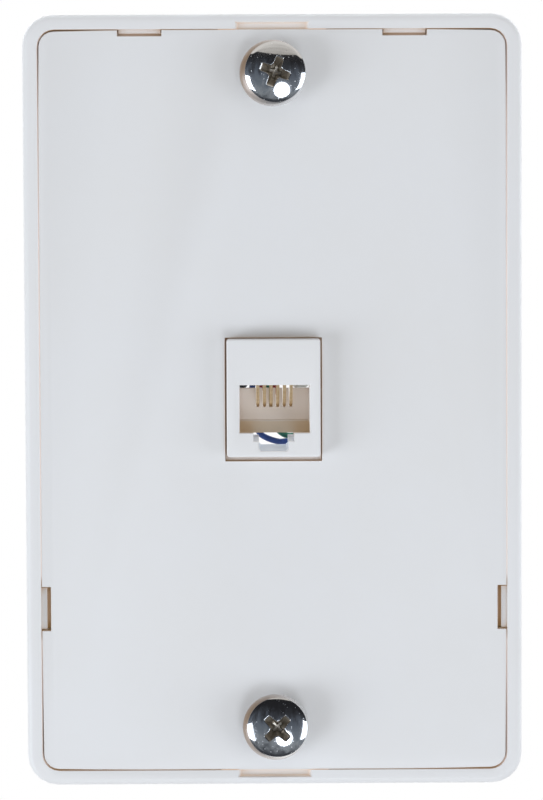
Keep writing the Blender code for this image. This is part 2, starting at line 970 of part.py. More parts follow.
def contact_route(index):
    """Forward over the roof, round a half bend through its window, then back and down to the comb."""
    x = contact_x(index)
    start = contact_start()
    bend_y = loft_front + slide_gap + contact_radius + contact_bend_radius
    bend_z = start.z - contact_bend_radius
    tip = Vector((x, comb_front + comb_thickness / 2, contact_tip_height))
    drop = Vector((0, tip.y - bend_y, tip.z - (bend_z - contact_bend_radius)))
    slope = math.atan2(-drop.z, drop.y)
    points = [Vector((x, start.y, start.z)), Vector((x, (start.y + bend_y) / 2, start.z))]
    bend_steps = 7
    for step in range(bend_steps + 1):
        angle = math.pi / 2 + (math.pi - slope) * step / bend_steps
        points.append(
            Vector((x, bend_y + contact_bend_radius * math.cos(angle), bend_z + contact_bend_radius * math.sin(angle)))
        )
    points.append((points[-1] + tip) / 2)
    points.append(tip)
    return points


def wire(name, points, radius, finish, resolution=2):
    """A round wire along the points, closed at both ends."""
    curve = bpy.data.curves.new(name, "CURVE")
    curve.dimensions = "3D"
    curve.bevel_depth = radius
    curve.bevel_resolution = resolution
    curve.use_fill_caps = True
    curve.render_resolution_u = 0
    spline = curve.splines.new("POLY")
    spline.points.add(len(points) - 1)
    for point, place_at in zip(spline.points, points):
        point.co = (*place_at, 1.0)
    curve.materials.append(finish_of(finish))
    piece = bpy.data.objects.new(name, curve)
    bpy.context.scene.collection.objects.link(piece)
    return piece


def smooth_route(knots, steps):
    """Points on the Catmull-Rom curve through the knots."""
    padded = [knots[0] * 2 - knots[1], *knots, knots[-1] * 2 - knots[-2]]
    points = [knots[0]]
    for a, b, c, d in zip(padded, padded[1:], padded[2:], padded[3:]):
        for step in range(1, steps + 1):
            t = step / steps
            points.append(
                0.5 * (2 * b + (c - a) * t + (2 * a - 5 * b + 4 * c - d) * t**2 + (3 * b - a - 3 * c + d) * t**3)
            )
    return points


def lug_mouth(side, row):
    """Where a lead enters the barrel of the lug at a terminal, and a point inside it."""
    z = row * terminal_pitch
    y = lug_front + lug_barrel_radius
    mouth = side * (terminal_offset - lug_barrel_reach)
    return Vector((mouth, y, z)), Vector((mouth + side * lug_barrel_length / 2, y, z))


# Each lead's terminal, as side and row, and the grid points that it passes behind the jack
lead_routes = (
    (1, -1, ((-2.6, 2.2, 3.9), (-3.2, 3.5, 2.0), (-3.4, 4.6, -0.6), (-3.0, 5.7, -3.4), (-2.2, 5.9, -5.5),
             (-1.0, 5.9, -6.4), (0.9, 5.8, -7.0), (2.6, 5.7, -6.95), (4.3, 5.9, -7.9))),
    (-1, -1, ((-1.6, 2.0, 4.7), (-2.9, 3.5, 5.9), (-5.2, 5.6, 5.2), (-6.6, 7.2, 1.6), (-6.9, 7.9, -3.0),
              (-6.6, 7.6, -8.0))),
    (1, 0, ((-0.5, 2.1, 3.7), (-0.7, 2.9, 2.2), (-0.75, 3.7, 0.2), (-0.3, 5.3, -2.9), (0.8, 6.7, -5.2),
            (2.6, 7.0, -6.15), (5.0, 7.0, -5.2))),
    (-1, 1, ((0.5, 2.1, 3.9), (0.35, 2.9, 2.6), (0.3, 4.0, 1.1), (-0.6, 6.0, 0.8), (-2.6, 7.7, 2.8),
             (-5.0, 7.8, 7.0))),
    (-1, 0, ((1.6, 2.4, 4.7), (0.7, 3.6, 5.6), (-1.6, 5.0, 5.9), (-3.5, 5.9, 4.4), (-4.3, 6.2, 2.2),
             (-5.7, 6.5, 1.0))),
    (1, 1, ((2.8, 2.2, 3.9), (3.1, 3.4, 2.7), (3.9, 4.8, 1.8), (5.3, 5.9, 2.3), (6.2, 6.5, 5.6))),
)


def make_lead(name, finish, index):
    side, row, passes = lead_routes[index]
    start = contact_start() + Vector((contact_x(index), fit_gap, 0))
    mouth, end = lug_mouth(side, row)
    bend = mouth + Vector((-side * lead_sweep, lead_sweep / 3, -row * lead_sweep / 2))
    approach = mouth - Vector((side * lead_radius * 2, 0, 0))
    knots = [start, *(Vector(point) * lead_grid for point in passes), bend, approach, mouth, end]
    return wire(name, smooth_route(knots, lead_steps), lead_radius, finish)


def make_terminal_block():
    flange = rounded_rectangle(flange_width, flange_height, flange_corner, 4)
    carrier = prism("terminal_block", flange, flange_front, flange_rear, grey_plastic, z=0)
    ear = rounded_rectangle(ear_width, 2 * ear_end, flange_corner, 4)
    join(carrier, prism("ear_strip", ear, flange_front, flange_rear - hair))
    sleeve = rounded_rectangle(sleeve_width, sleeve_height, sleeve_wall, 3)
    join(carrier, prism("sleeve", sleeve, flange_rear - over, sleeve_rear, z=jack_centre_height))
    for sign in (-1, 1):
        low_x = sign * terminal_offset - terminal_width / 2
        high_x = sign * terminal_offset + terminal_width / 2
        join(
            carrier,
            block(
                f"terminal_bar_{sign}",
                (low_x, flange_rear - over, -bar_height / 2),
                (high_x, terminal_rear, bar_height / 2),
            ),
        )
        for gap in range(terminal_rows + 1):
            low_z = (gap - terminal_rows / 2) * terminal_pitch - barrier_thickness / 2 + barrier_inset
            high_z = low_z + barrier_thickness - 2 * barrier_inset
            join(
                carrier,
                block(
                    f"barrier_{sign}_{gap}",
                    (low_x + barrier_inset, terminal_rear - over, low_z),
                    (high_x - barrier_inset, terminal_rear + barrier_height, high_z),
                ),
            )
        for row in (-1, 0, 1):
            cut(
                carrier,
                cylinder(
                    f"terminal_hole_cutter_{sign}_{row}",
                    terminal_shank_radius + fit_gap,
                    screw_seat - terminal_shank_length - fit_gap,
                    terminal_rear + over,
                    x=sign * terminal_offset,
                    z=row * terminal_pitch,
                ),
            )
        cut(
            carrier,
            cylinder(
                f"ear_hole_cutter_{sign}",
                block_shank_radius + fit_gap,
                flange_front - over,
                flange_rear + over,
                z=sign * ear_screw_offset,
            ),
            cylinder(
                f"ear_counterbore_cutter_{sign}",
                block_head_radius + fit_gap,
                flange_front - over,
                flange_front + block_counterbore,
                z=sign * ear_screw_offset,
            ),
        )
    passage = rounded_rectangle(jack_width + 2 * fit_gap, jack_height + 2 * fit_gap, jack_corner, 2)
    seat = rounded_rectangle(
        jack_width + 2 * (collar_width + fit_gap), jack_height + 2 * (collar_width + fit_gap), jack_corner, 2
    )
    cut(
        carrier,
        prism("passage_cutter", passage, flange_front - over, sleeve_rear + over, z=jack_centre_height),
        prism("seat_cutter", seat, flange_front - over, collar_rear + fit_gap, z=jack_centre_height),
    )
    smooth(carrier)
    return carrier


def slotted_screw(name, x, z, seat, towards, head_radius, head_height, shank_radius, shank_length, turn, finish):
    """A pan head with a cut slot, whose head points towards +Y or -Y from its seat."""
    ease = head_height * 0.35
    profile = [
        (0.0, seat + towards * head_height),
        (head_radius - ease * 1.6, seat + towards * head_height),
        (head_radius - ease * 0.5, seat + towards * (head_height - ease * 0.4)),
        (head_radius, seat + towards * (head_height - ease * 1.5)),
        (head_radius, seat),
        (shank_radius, seat),
        (shank_radius, seat - towards * shank_length),
        (0.0, seat - towards * shank_length),
    ]
    screw = turned(name, profile, x, z, small_segments, finish)
    along = Vector((math.cos(turn), 0, math.sin(turn))) * (head_radius + over)
    across = Vector((-math.sin(turn), 0, math.cos(turn))) * (screw_slot_width / 2)
    centre = Vector((x, 0, z))
    floor = seat + towards * (head_height - screw_slot_depth * head_height / terminal_head_height)
    mouth = seat + towards * (head_height + over)
    corners = (along + across, along - across, -along - across, -along + across)
    rings = [[centre + corner + Vector((0, y, 0)) for corner in corners] for y in (floor, mouth)]
    cut(screw, loft(f"{name}_slot_cutter", rings))
    smooth(screw, 30)
    return screw


def make_lug(name, side, row):
    """A spade lug: a fork under the terminal screw and a barrel round the end of its lead."""
    x = side * terminal_offset
    z = row * terminal_pitch
    lug = cylinder(name, lug_fork_radius, lug_front, lug_rear, x, z, small_segments, tinned_brass)
    barrel_inner = terminal_offset - lug_barrel_reach
    barrel_outer = barrel_inner + lug_barrel_length
    neck_low, neck_high = sorted((side * (barrel_outer - over), side * (terminal_offset - lug_slot_radius)))
    neck_half = lug_barrel_radius * 0.9
    centre_y = lug_front + lug_barrel_radius
    barrel = loft(
        f"{name}_barrel",
        [
            [Vector((side * reach, centre_y + py, z + pz)) for py, pz in circle(lug_barrel_radius, 12, math.pi / 12)]
            for reach in (barrel_inner, barrel_outer)
        ],
    )
    bore = loft(
        f"{name}_bore_cutter",
        [
            [Vector((side * reach, centre_y + py, z + pz)) for py, pz in circle(lug_barrel_bore, 12, math.pi / 12)]
            for reach in (barrel_inner - over, barrel_outer + over)
        ],
    )
    join(
        lug,
        block(f"{name}_neck", (neck_low, lug_front, z - neck_half), (neck_high, lug_rear, z + neck_half)),
        barrel,
    )
    open_low, open_high = sorted((x, x + side * (lug_fork_radius + over)))
    cut(
        lug,
        bore,
        cylinder(f"{name}_slot_end_cutter", lug_slot_radius, lug_front - over, lug_rear + over, x, z, 16),
        block(
            f"{name}_slot_cutter",
            (open_low, lug_front - over, z - lug_slot_radius),
            (open_high, lug_rear + over, z + lug_slot_radius),
        ),
    )
    return lug


def main():
    clear_scene()
    scene = bpy.context.scene
    scene.unit_settings.system = "METRIC"
    scene.unit_settings.scale_length = 1.0
    make_frame()
    make_cover()
    make_stud("upper_stud", 1, upper_stud_turn)
    make_stud("lower_stud", -1, lower_stud_turn)
    make_nut("upper_stud_nut", 1)
    make_nut("lower_stud_nut", -1)
    make_housing()
    make_comb()
    for index in range(contact_count):
        wire(f"contact_{index + 1}", contact_route(index), contact_radius, gold_wire)
    for index, (name, finish) in enumerate(lead_finishes):
        make_lead(name, finish, index)
        side, row, passes = lead_routes[index]
        lug_name = name.replace("lead", "lug")
        make_lug(lug_name, side, row)
        slotted_screw(
            name.replace("lead", "terminal_screw"),
            side * terminal_offset,
            row * terminal_pitch,
            screw_seat,
            1,
            terminal_head_radius,
            terminal_head_height,
            terminal_shank_radius,
            terminal_shank_length,
            0.5 + 1.1 * index,
            plated_steel,
        )
    make_terminal_block()
    for label, sign in (("upper", 1), ("lower", -1)):
        slotted_screw(
            f"{label}_block_screw",
            0,
            sign * ear_screw_offset,
            flange_front + block_counterbore - fit_gap,
            -1,
            block_head_radius,
            block_head_height,
            block_shank_radius,
            block_shank_length,
            0.4 * sign,
            plated_steel,
        )


main()
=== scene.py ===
"""Telephone wall socket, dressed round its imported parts: plastics, chromed studs, gilt contacts and wiring.

Metres, +Z up, front towards -Y. A surface here is a grid of points worked out with numpy from two parameters.
"""

import math
from collections import namedtuple

import bmesh
import bpy
import numpy as np
from mathutils import Matrix, Vector


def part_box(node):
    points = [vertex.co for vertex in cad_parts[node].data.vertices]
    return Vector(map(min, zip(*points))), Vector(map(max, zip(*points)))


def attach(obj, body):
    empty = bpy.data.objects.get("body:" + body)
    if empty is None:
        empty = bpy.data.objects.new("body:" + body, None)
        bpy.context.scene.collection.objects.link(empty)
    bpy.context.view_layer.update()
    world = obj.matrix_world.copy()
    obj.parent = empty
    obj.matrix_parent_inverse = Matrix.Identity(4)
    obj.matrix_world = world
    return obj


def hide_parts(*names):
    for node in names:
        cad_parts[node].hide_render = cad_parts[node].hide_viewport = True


MM = 0.001

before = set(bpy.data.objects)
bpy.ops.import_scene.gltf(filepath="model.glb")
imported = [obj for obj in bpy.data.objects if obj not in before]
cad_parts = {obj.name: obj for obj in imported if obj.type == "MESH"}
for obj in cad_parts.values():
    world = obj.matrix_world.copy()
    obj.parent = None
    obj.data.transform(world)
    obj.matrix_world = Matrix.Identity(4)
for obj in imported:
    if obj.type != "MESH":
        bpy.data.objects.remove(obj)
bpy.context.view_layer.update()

# The photograph's camera, fitted to the plate's outer edges
photo_width = 543
photo_height = 800
focal_pixels = 2953.3
sensor_size = 36.0
camera_distance = 450 * MM
camera_aim = Vector((-0.305, -8.0, 0.262)) * MM
camera_yaw = 0.00484477
camera_pitch = 0.0517086
camera_roll = -0.0043192
nearest_seen = 0.01
farthest_seen = 20

# Planes of the part, along Y
cover_front = -7.9 * MM
frame_web_rear = -0.6 * MM
stud_boss_gap = -6.0 * MM

# Hanging studs
stud_head_radius = 5.0 * MM
stud_dome_radius = 11.0 * MM
stud_edge_radius = 1.5 * MM
stud_head_rear = -10.7 * MM
stud_head_land = 0.15 * MM
stud_neck_radius = 2.5 * MM
stud_shoulder_radius = 3.5 * MM
stud_shank_radius = 1.95 * MM
stud_tip_chamfer = 0.4 * MM
stud_fillet = 0.3 * MM
cross_reach = 2.3 * MM
cross_width = 1.3 * MM
cross_tip_width = 1.2 * MM
cross_web = 1.56 * MM
cross_depth = 2.2 * MM
cross_floor_share = 0.45
cross_lip = 0.10 * MM
rim_start = 4.58 * MM
# The rim's painted reflection: a satin tan standing in for the shaded cover that the rim mirrors, strongest
# at this turn and falling off by the cosine of the angle from it, never below the least share
rim_painted_reflection_turn = math.radians(165)
rim_painted_reflection_level = 0.45
rim_painted_reflection_swing = 0.55
rim_painted_reflection_least = 0.1

# Contacts
contact_count = 6
contact_pitch = 1.02 * MM
contact_radius = 0.26 * MM
contact_bend_radius = 0.75 * MM
contact_front = -9.5 * MM
contact_back = -0.4 * MM
contact_height = 4.12 * MM
contact_setback = 0.15 * MM
contact_tip = Vector((0, -1.05, -0.88)) * MM
port_shift = 0.15 * MM
comb_rise = 0.28 * MM
comb_top_band = 0.15 * MM

# Ledges that widen the cover's snap lips behind the notches
recess_width = 71.3 * MM
recess_height = 113.1 * MM
top_notch_offset = 20.1 * MM
side_notch_height = -31.6 * MM
top_ledge_inset = 0.8 * MM
side_ledge_inset = 1.17 * MM
ledge_depth = -5.14 * MM
ledge_thickness = 0.8 * MM
ledge_width = 0.9 * MM
ledge_length = 6.95 * MM

# Where a painted glow stands for light through the jack's walls: the port and the latch notch under its sill
port_half_width = 5.45 * MM
port_middle = -2.6 * MM
port_half_height = 5.4 * MM
port_sill = -3.4 * MM
sill_blend = 0.4 * MM
latch_top = -5.5 * MM
latch_blend = 0.2 * MM
port_light_start = -10.9 * MM

# Painted light for the cover's seams: a share at each height in millimetres, on a ramp between the bottom and
# top heights below. Where the share is 0 the seams get a darker, warmer painted shade and a dim painted glow,
# and where it is 1 a bright painted glow. It is 0 in the middle of the width too, as far as the jack's zone,
# and rises from there to its full value at the outer zone.
seam_light_bottom = -100.0
seam_light_top = 100.0
seam_heights = (
    (-56.4, 0.0), (-55.4, 0.5), (-36.6, 0.7), (-35.6, 0.0), (-27.6, 0.0), (-26.6, 0.95),
    (-18.0, 1.0), (20.0, 1.0), (36.0, 0.8), (55.4, 0.45), (56.4, 0.0),
)
jack_zone = 12.0 * MM
seam_light_zone = 20.0 * MM
# The screwdriver recesses, where the seams take their own painted glow
pry_half_width = 8.2 * MM
pry_start = 56.45 * MM

# Leads. A route is its terminal's side and row, and the points that it passes, in millimetres.
lead_radius = 0.475 * MM
lead_start_gap = 0.3 * MM
lead_sweep = 2.6 * MM
terminal_pitch = 15.4 * MM
lug_mouth_offset = 9.8 * MM
lug_barrel_length = 3.8 * MM
lug_barrel_depth = 4.5 * MM
lead_routes = {
    "blue": (1, -1, (
        (-2.6, 2.2, 3.9), (-3.2, 3.5, 2.0), (-3.4, 4.6, -0.6), (-3.0, 5.7, -3.4), (-2.2, 5.9, -5.5),
        (-1.0, 5.9, -6.4), (0.9, 5.8, -7.0), (2.6, 5.7, -6.95), (4.3, 5.9, -7.9),
    )),
    "yellow": (-1, -1, (
        (-1.6, 2.0, 4.7), (-2.9, 3.5, 5.9), (-5.2, 5.6, 5.2), (-6.6, 7.2, 1.6), (-6.9, 7.9, -3.0),
        (-6.6, 7.6, -8.0),
    )),
    "green": (1, 0, (
        (-0.5, 2.1, 3.7), (-0.7, 2.9, 2.2), (-0.75, 3.7, 0.2), (-0.3, 5.3, -2.9), (0.8, 6.7, -5.2),
        (2.6, 7.0, -6.15), (5.0, 7.0, -5.2),
    )),
    "red": (-1, 1, (
        (0.5, 2.1, 3.9), (0.35, 2.9, 2.6), (0.3, 4.0, 1.1), (-0.6, 6.0, 0.8), (-2.6, 7.7, 2.8),
        (-5.0, 7.8, 7.0),
    )),
    "black": (-1, 0, (
        (1.6, 2.4, 4.7), (0.7, 3.6, 5.6), (-1.6, 5.0, 5.9), (-3.5, 5.9, 4.4), (-4.3, 6.2, 2.2),
        (-5.7, 6.5, 1.0),
    )),
    "white": (1, 1, (
        (2.8, 2.2, 3.9), (3.1, 3.4, 2.7), (3.9, 4.8, 1.8), (5.3, 5.9, 2.3), (6.2, 6.5, 5.6),
    )),
}

# Screws
screw_slot_width = 0.9 * MM
screw_slot_inner_share = 0.3
screw_crown_share = 0.55
screw_crown_width = 1.4
screw_shank_ease = 0.15 * MM
screw_tip_share = 0.82
screw_tip_length = 0.18
screw_turn_start = 0.5
screw_turn_step = 1.1

# Meshes: points nearer than the distances meet, faces within the flat angle join, and edges that turn by more
# than the other angles stay crisp
meeting_distance = 0.0005 * MM
copy_meeting_distance = 0.001 * MM
flat_angle = 0.5
sharp_angle = 35
turned_sharp_angle = 40
screw_sharp_angle = 32
round_sharp_angle = 60

# Surroundings. A tone's stops are a level from 0 to 1 and its colour, and noise is scaled along X, Y and Z.
studio_radius = 6.0
studio_stretch = (1.4, 1.4, 0.35)
studio_drift = 0.13
studio_left = -0.06
studio_right = 0.10
studio_tones = (
    (0.05, (0.030, 0.033, 0.040)),
    (0.15, (0.080, 0.088, 0.100)),
    (0.24, (0.220, 0.240, 0.260)),
    (0.36, (0.120, 0.140, 0.165)),
    (0.50, (0.085, 0.100, 0.125)),
    (0.60, (0.035, 0.038, 0.045)),
    (0.72, (0.016, 0.016, 0.018)),
)
canopy_centre = (15 * MM, -16 * MM, 95 * MM)
canopy_radius = 70 * MM
canopy_sides = 96
canopy_stretch = (12.0, 120.0, 1.0)
canopy_fade_start = -86 * MM
canopy_fade_end = -36 * MM
canopy_fade = 0.25
canopy_tones = ((0.15, (0.33, 0.31, 0.285)), (0.75, (0.66, 0.635, 0.60)))
floor_height = -100 * MM
floor_half_width = 280 * MM
floor_front = -300 * MM
floor_back = 180 * MM
floor_shift = (0, 0.25, 0)
floor_scale = (3.8, 4.4, 0)
floor_fade_start = 0.45
floor_fade_end = 0.98
floor_tones = (0.90, 0.94)
ambient_colour = (1.0, 0.975, 0.95)
ambient_level = 0.40

# Values that belong together
ScrewSize = namedtuple("ScrewSize", "head_radius head_height shank_radius slot_depth")
Shine = namedtuple("Shine", "smooth rough clouds")
Grain = namedtuple("Grain", "fine coarse depth strength")
# A painted shade for gaps and corners: its colour, how far the occlusion looks, and how strongly it is
# painted
Gap = namedtuple("Gap", "colour reach amount")
# Painted light for seams: the painted shade where its share is low, then the painted glow where the share is
# low, where it is high and in the screwdriver recesses
Seam = namedtuple("Seam", "loose_gap loose close recess")
SoftBox = namedtuple("SoftBox", "azimuth elevation distance width height level")

terminal_screw_size = ScrewSize(
    head_radius=3.2 * MM, head_height=2.0 * MM, shank_radius=1.7 * MM, slot_depth=1.0 * MM
)
block_screw_size = ScrewSize(
    head_radius=2.8 * MM, head_height=1.2 * MM, shank_radius=1.3 * MM, slot_depth=0.6 * MM
)

# Lamps: degrees from the front to the right and upwards, metres, and the share of plain light that each gives
soft_boxes = {
    "left_box": SoftBox(-62, -17, 3.0, 2.35, 1.5, 0.56),
    "right_box": SoftBox(66, -14, 3.0, 2.67, 1.72, 0.365),
    "round_box": SoftBox(12, -26, 5.5, 2.4, 2.4, 0.19),
    "top_fill": SoftBox(20, 50, 2.0, 1.5, 1.0, 0.06),
    "rear_left_box": SoftBox(-150, 25, 1.2, 0.8, 0.6, 0.22),
    "rear_right_box": SoftBox(150, 25, 1.2, 0.8, 0.6, 0.12),
    "rear_low_box": SoftBox(180, -20, 1.2, 0.8, 0.6, 0.12),
    "left_edge_box": SoftBox(-115, 5, 1.2, 0.5, 0.8, 0.06),
    "right_edge_box": SoftBox(110, 5, 1.2, 0.5, 0.8, 0.2),
    "top_edge_box": SoftBox(180, 72, 1.2, 0.8, 0.4, 0.5),
}
lamp_colour = (0.93, 1.0, 1.10)


# Meshes


def in_scene(name, data):
    """A new object that holds the mesh, lamp or camera."""
    made = bpy.data.objects.new(name, data)
    bpy.context.scene.collection.objects.link(made)
    return made


def mesh_piece(name, points, faces, sharp_degrees=sharp_angle):
    mesh = bpy.data.meshes.new(name)
    mesh.from_pydata(points.tolist(), [], faces)
    mesh.update()
    mesh.shade_smooth()
    mesh.set_sharp_from_angle(angle=math.radians(sharp_degrees))
    return in_scene(name, mesh)


def skin(name, rings, sharp_degrees=sharp_angle):
    """A closed surface over rings[row, column]: quads between neighbouring points, wrapped round each ring,
    and a fan from the middle of the first and of the last ring."""
    rows, columns = rings.shape[:2]
    points = np.concatenate([rings.reshape(-1, 3), rings[:1].mean(axis=1), rings[-1:].mean(axis=1)])
    index = np.arange(rows * columns).reshape(rows, columns)
    turned = np.roll(index, -1, axis=1)
    quads = np.stack([index[:-1], turned[:-1], turned[1:], index[1:]], axis=-1).reshape(-1, 4)
    first_middle = rows * columns
    first = np.stack([turned[0], index[0], np.full(columns, first_middle)], axis=-1)
    last = np.stack([index[-1], turned[-1], np.full(columns, first_middle + 1)], axis=-1)
    return mesh_piece(name, points, quads.tolist() + first.tolist() + last.tolist(), sharp_degrees)


def merged(piece):
    """Points that meet become one, and the faces are turned outwards."""
    bm = bmesh.new()
    bm.from_mesh(piece.data)
    bmesh.ops.remove_doubles(bm, verts=bm.verts, dist=meeting_distance)
    bmesh.ops.dissolve_degenerate(bm, edges=bm.edges, dist=meeting_distance)
    bmesh.ops.recalc_face_normals(bm, faces=bm.faces)
    bm.to_mesh(piece.data)
    bm.free()
    return piece


def arc(start, stop, count):
    return np.radians(np.linspace(start, stop, count))


def dress(piece, material, slot, *nodes):
    """The piece takes its material, rides on the part and stands for the named nodes."""
    piece.data.materials.clear()
    piece.data.materials.append(material)
    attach(piece, "root")
    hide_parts(*nodes)
    return piece


def softened_copy(node, name, edge):
    """A node's own shape, with its points merged, its flat areas joined and its edges rounded."""
    piece = in_scene(name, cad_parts[node].data.copy())
    piece.data.name = name
    bm = bmesh.new()
    bm.from_mesh(piece.data)
    bmesh.ops.remove_doubles(bm, verts=bm.verts, dist=copy_meeting_distance)
    bmesh.ops.dissolve_limit(bm, angle_limit=math.radians(flat_angle), verts=bm.verts, edges=bm.edges)
    bm.to_mesh(piece.data)
    bm.free()
    piece.data.shade_smooth()
    piece.data.set_sharp_from_angle(angle=math.radians(sharp_angle))
    bevel = piece.modifiers.new("rounded_edges", "BEVEL")
    bevel.width = edge
    bevel.segments = 2
    bevel.limit_method = "ANGLE"
    bevel.angle_limit = math.radians(sharp_angle)
    bevel.harden_normals = True
    return piece


def stud_outline():
    """Radius and depth of a stud from its dome's edge back along its underside, neck and shank, the angle at
    which the dome of one radius meets the rounded edge tangentially, and the dome's highest point."""
    edge_centre = stud_head_radius - stud_edge_radius
    tangent = math.asin(edge_centre / (stud_dome_radius - stud_edge_radius))
    edge_depth = stud_dome_radius - (stud_dome_radius - stud_edge_radius) * math.cos(tangent)
    apex = stud_head_rear - stud_head_land - edge_depth
    rim = np.linspace(tangent, math.pi / 2, 26)
    rim_radius = edge_centre + stud_edge_radius * np.sin(rim)
    rim_depth = apex + edge_depth - stud_edge_radius * np.cos(rim)
    tuck = arc(0, 90, 5)
    neck_radius = stud_neck_radius + stud_fillet * (1 - np.sin(tuck))
    neck_depth = stud_head_rear + stud_fillet * (1 - np.cos(tuck))
    tail = np.array([
        (stud_neck_radius, cover_front),
        (stud_shoulder_radius, cover_front),
        (stud_shoulder_radius, stud_boss_gap),
        (stud_shank_radius, stud_boss_gap),
        (stud_shank_radius, frame_web_rear - stud_tip_chamfer),
        (stud_shank_radius - stud_tip_chamfer, frame_web_rear),
    ])
    radius = np.concatenate([rim_radius, [stud_head_radius], neck_radius, tail[:, 0]])
    depth = np.concatenate([rim_depth, [stud_head_rear], neck_depth, tail[:, 1]])
    return radius, depth, tangent, apex


def cross_radius(angle, reach, width, tip_width, web):
    """Distance from the middle to a cross with four tapered arms, seen along the angle.

    Within an eighth turn of an arm it is the nearer of the arm's side and its tip, and never less than the
    chamfer between two arms. Both choices are rounded with a power mean, and a higher power is crisper."""
    tip_power = 14.0
    web_power = 12.0
    off = np.abs((angle + math.pi / 4) % (math.pi / 2) - math.pi / 4)
    taper = (width - tip_width) / 2 / reach
    never_zero = 1e-9
    side = width / 2 / (np.sin(off) + taper * np.cos(off) + never_zero)
    tip = reach / np.cos(off)
    arm = (side**-tip_power + tip**-tip_power) ** (-1 / tip_power)
    inner = web / (np.cos(off) + np.sin(off))
    return (arm**web_power + inner**web_power) ** (1 / web_power)


def chromed_stud(name, centre, turn, dome_offset, lean):
    """A stud whose dome is a grid from the cross recess's rounded lip out to the rim.

    Ring by ring the outline changes from the cross to a circle, and the depth is the dome's at that radius.
    Inside the lip the rings shrink down the recess's leaning walls to its floor. The dome and its recess lie
    a little beside the head's axis: the rings' middles move back to the axis between the rim's start and its
    end. The rim's painted reflection, a tan that stands in for the shaded cover mirrored there, is strongest
    at its own turn, by the cosine of the angle from there. The head leans: its rings and the neck's upper end
    lie beside the shank's axis."""
    columns = 320
    floor_shares = (0.25, 0.8)
    floor_crown = 0.12
    wall_rows = 6
    wall_top = 0.92
    dome_rows = 24
    angle = np.linspace(0, 2 * math.pi, columns, endpoint=False)
    outer, outer_depth, tangent, apex = stud_outline()
    mouth = cross_radius(angle - turn, cross_reach, cross_width, cross_tip_width, cross_web)
    floor = mouth * cross_floor_share

    def dome(radius):
        return apex + stud_dome_radius - np.sqrt(stud_dome_radius**2 - radius**2)

    rings = []
    floor_depth = apex + cross_depth
    for share in floor_shares:
        rings.append((floor * share, np.full(columns, floor_depth - cross_depth * floor_crown * share)))
    for share in np.linspace(0, wall_top, wall_rows):
        wall = floor + (mouth - floor) * share
        rings.append((wall, floor_depth * (1 - share) + dome(mouth) * share))
    for step in arc(0, 90, 5):
        lip = mouth + cross_lip * (1 - np.cos(step))
        rings.append((lip, dome(lip) + cross_lip * (1 - np.sin(step))))
    start = mouth + cross_lip
    tangent_radius = stud_dome_radius * math.sin(tangent)
    for share in np.linspace(0, 1, dome_rows)[1:]:
        radius = start + (tangent_radius - start) * share
        rings.append((radius, dome(radius)))
    for radius, depth in zip(outer[1:], outer_depth[1:]):
        rings.append((np.full(columns, radius), np.full(columns, depth)))
    radii = np.array([ring[0] for ring in rings])
    depths = np.array([ring[1] for ring in rings])
    farthest = radii.max(axis=1)
    beside = np.clip((stud_head_radius - farthest) / (stud_head_radius - rim_start), 0, 1)
    beside[np.argmax(farthest) :] = 0
    leaning = depths.min(axis=1) < stud_head_rear + 2 * stud_fillet
    middle_x = centre[0] + (dome_offset[0] * beside + lean[0] * leaning)[:, None]
    middle_z = centre[1] + (dome_offset[1] * beside + lean[1] * leaning)[:, None]
    grid = np.stack([middle_x + radii * np.cos(angle), depths, middle_z + radii * np.sin(angle)], axis=-1)
    stud = skin(name, grid, turned_sharp_angle)
    recess_rows = len(floor_shares) + wall_rows
    inside = np.concatenate([np.arange(grid.shape[0]).repeat(columns) < recess_rows, [True, False]])
    store(stud, "recess", inside)
    # A share of painted reflection for each point of the rim
    rim_paint_share = rim_painted_reflection_level + rim_painted_reflection_swing * np.cos(angle - rim_painted_reflection_turn)
    painted_rim = (radii > rim_start) * np.maximum(rim_paint_share, rim_painted_reflection_least)
    store(stud, "rim", np.concatenate([painted_rim.ravel(), [0, 0]]))
    return merged(stud)


def store(piece, name, values):
    """A value for each point of the piece, which its material reads by name."""
    layer = piece.data.attributes.new(name, "FLOAT", "POINT")
    layer.data.foreach_set("value", values.astype(np.float32))


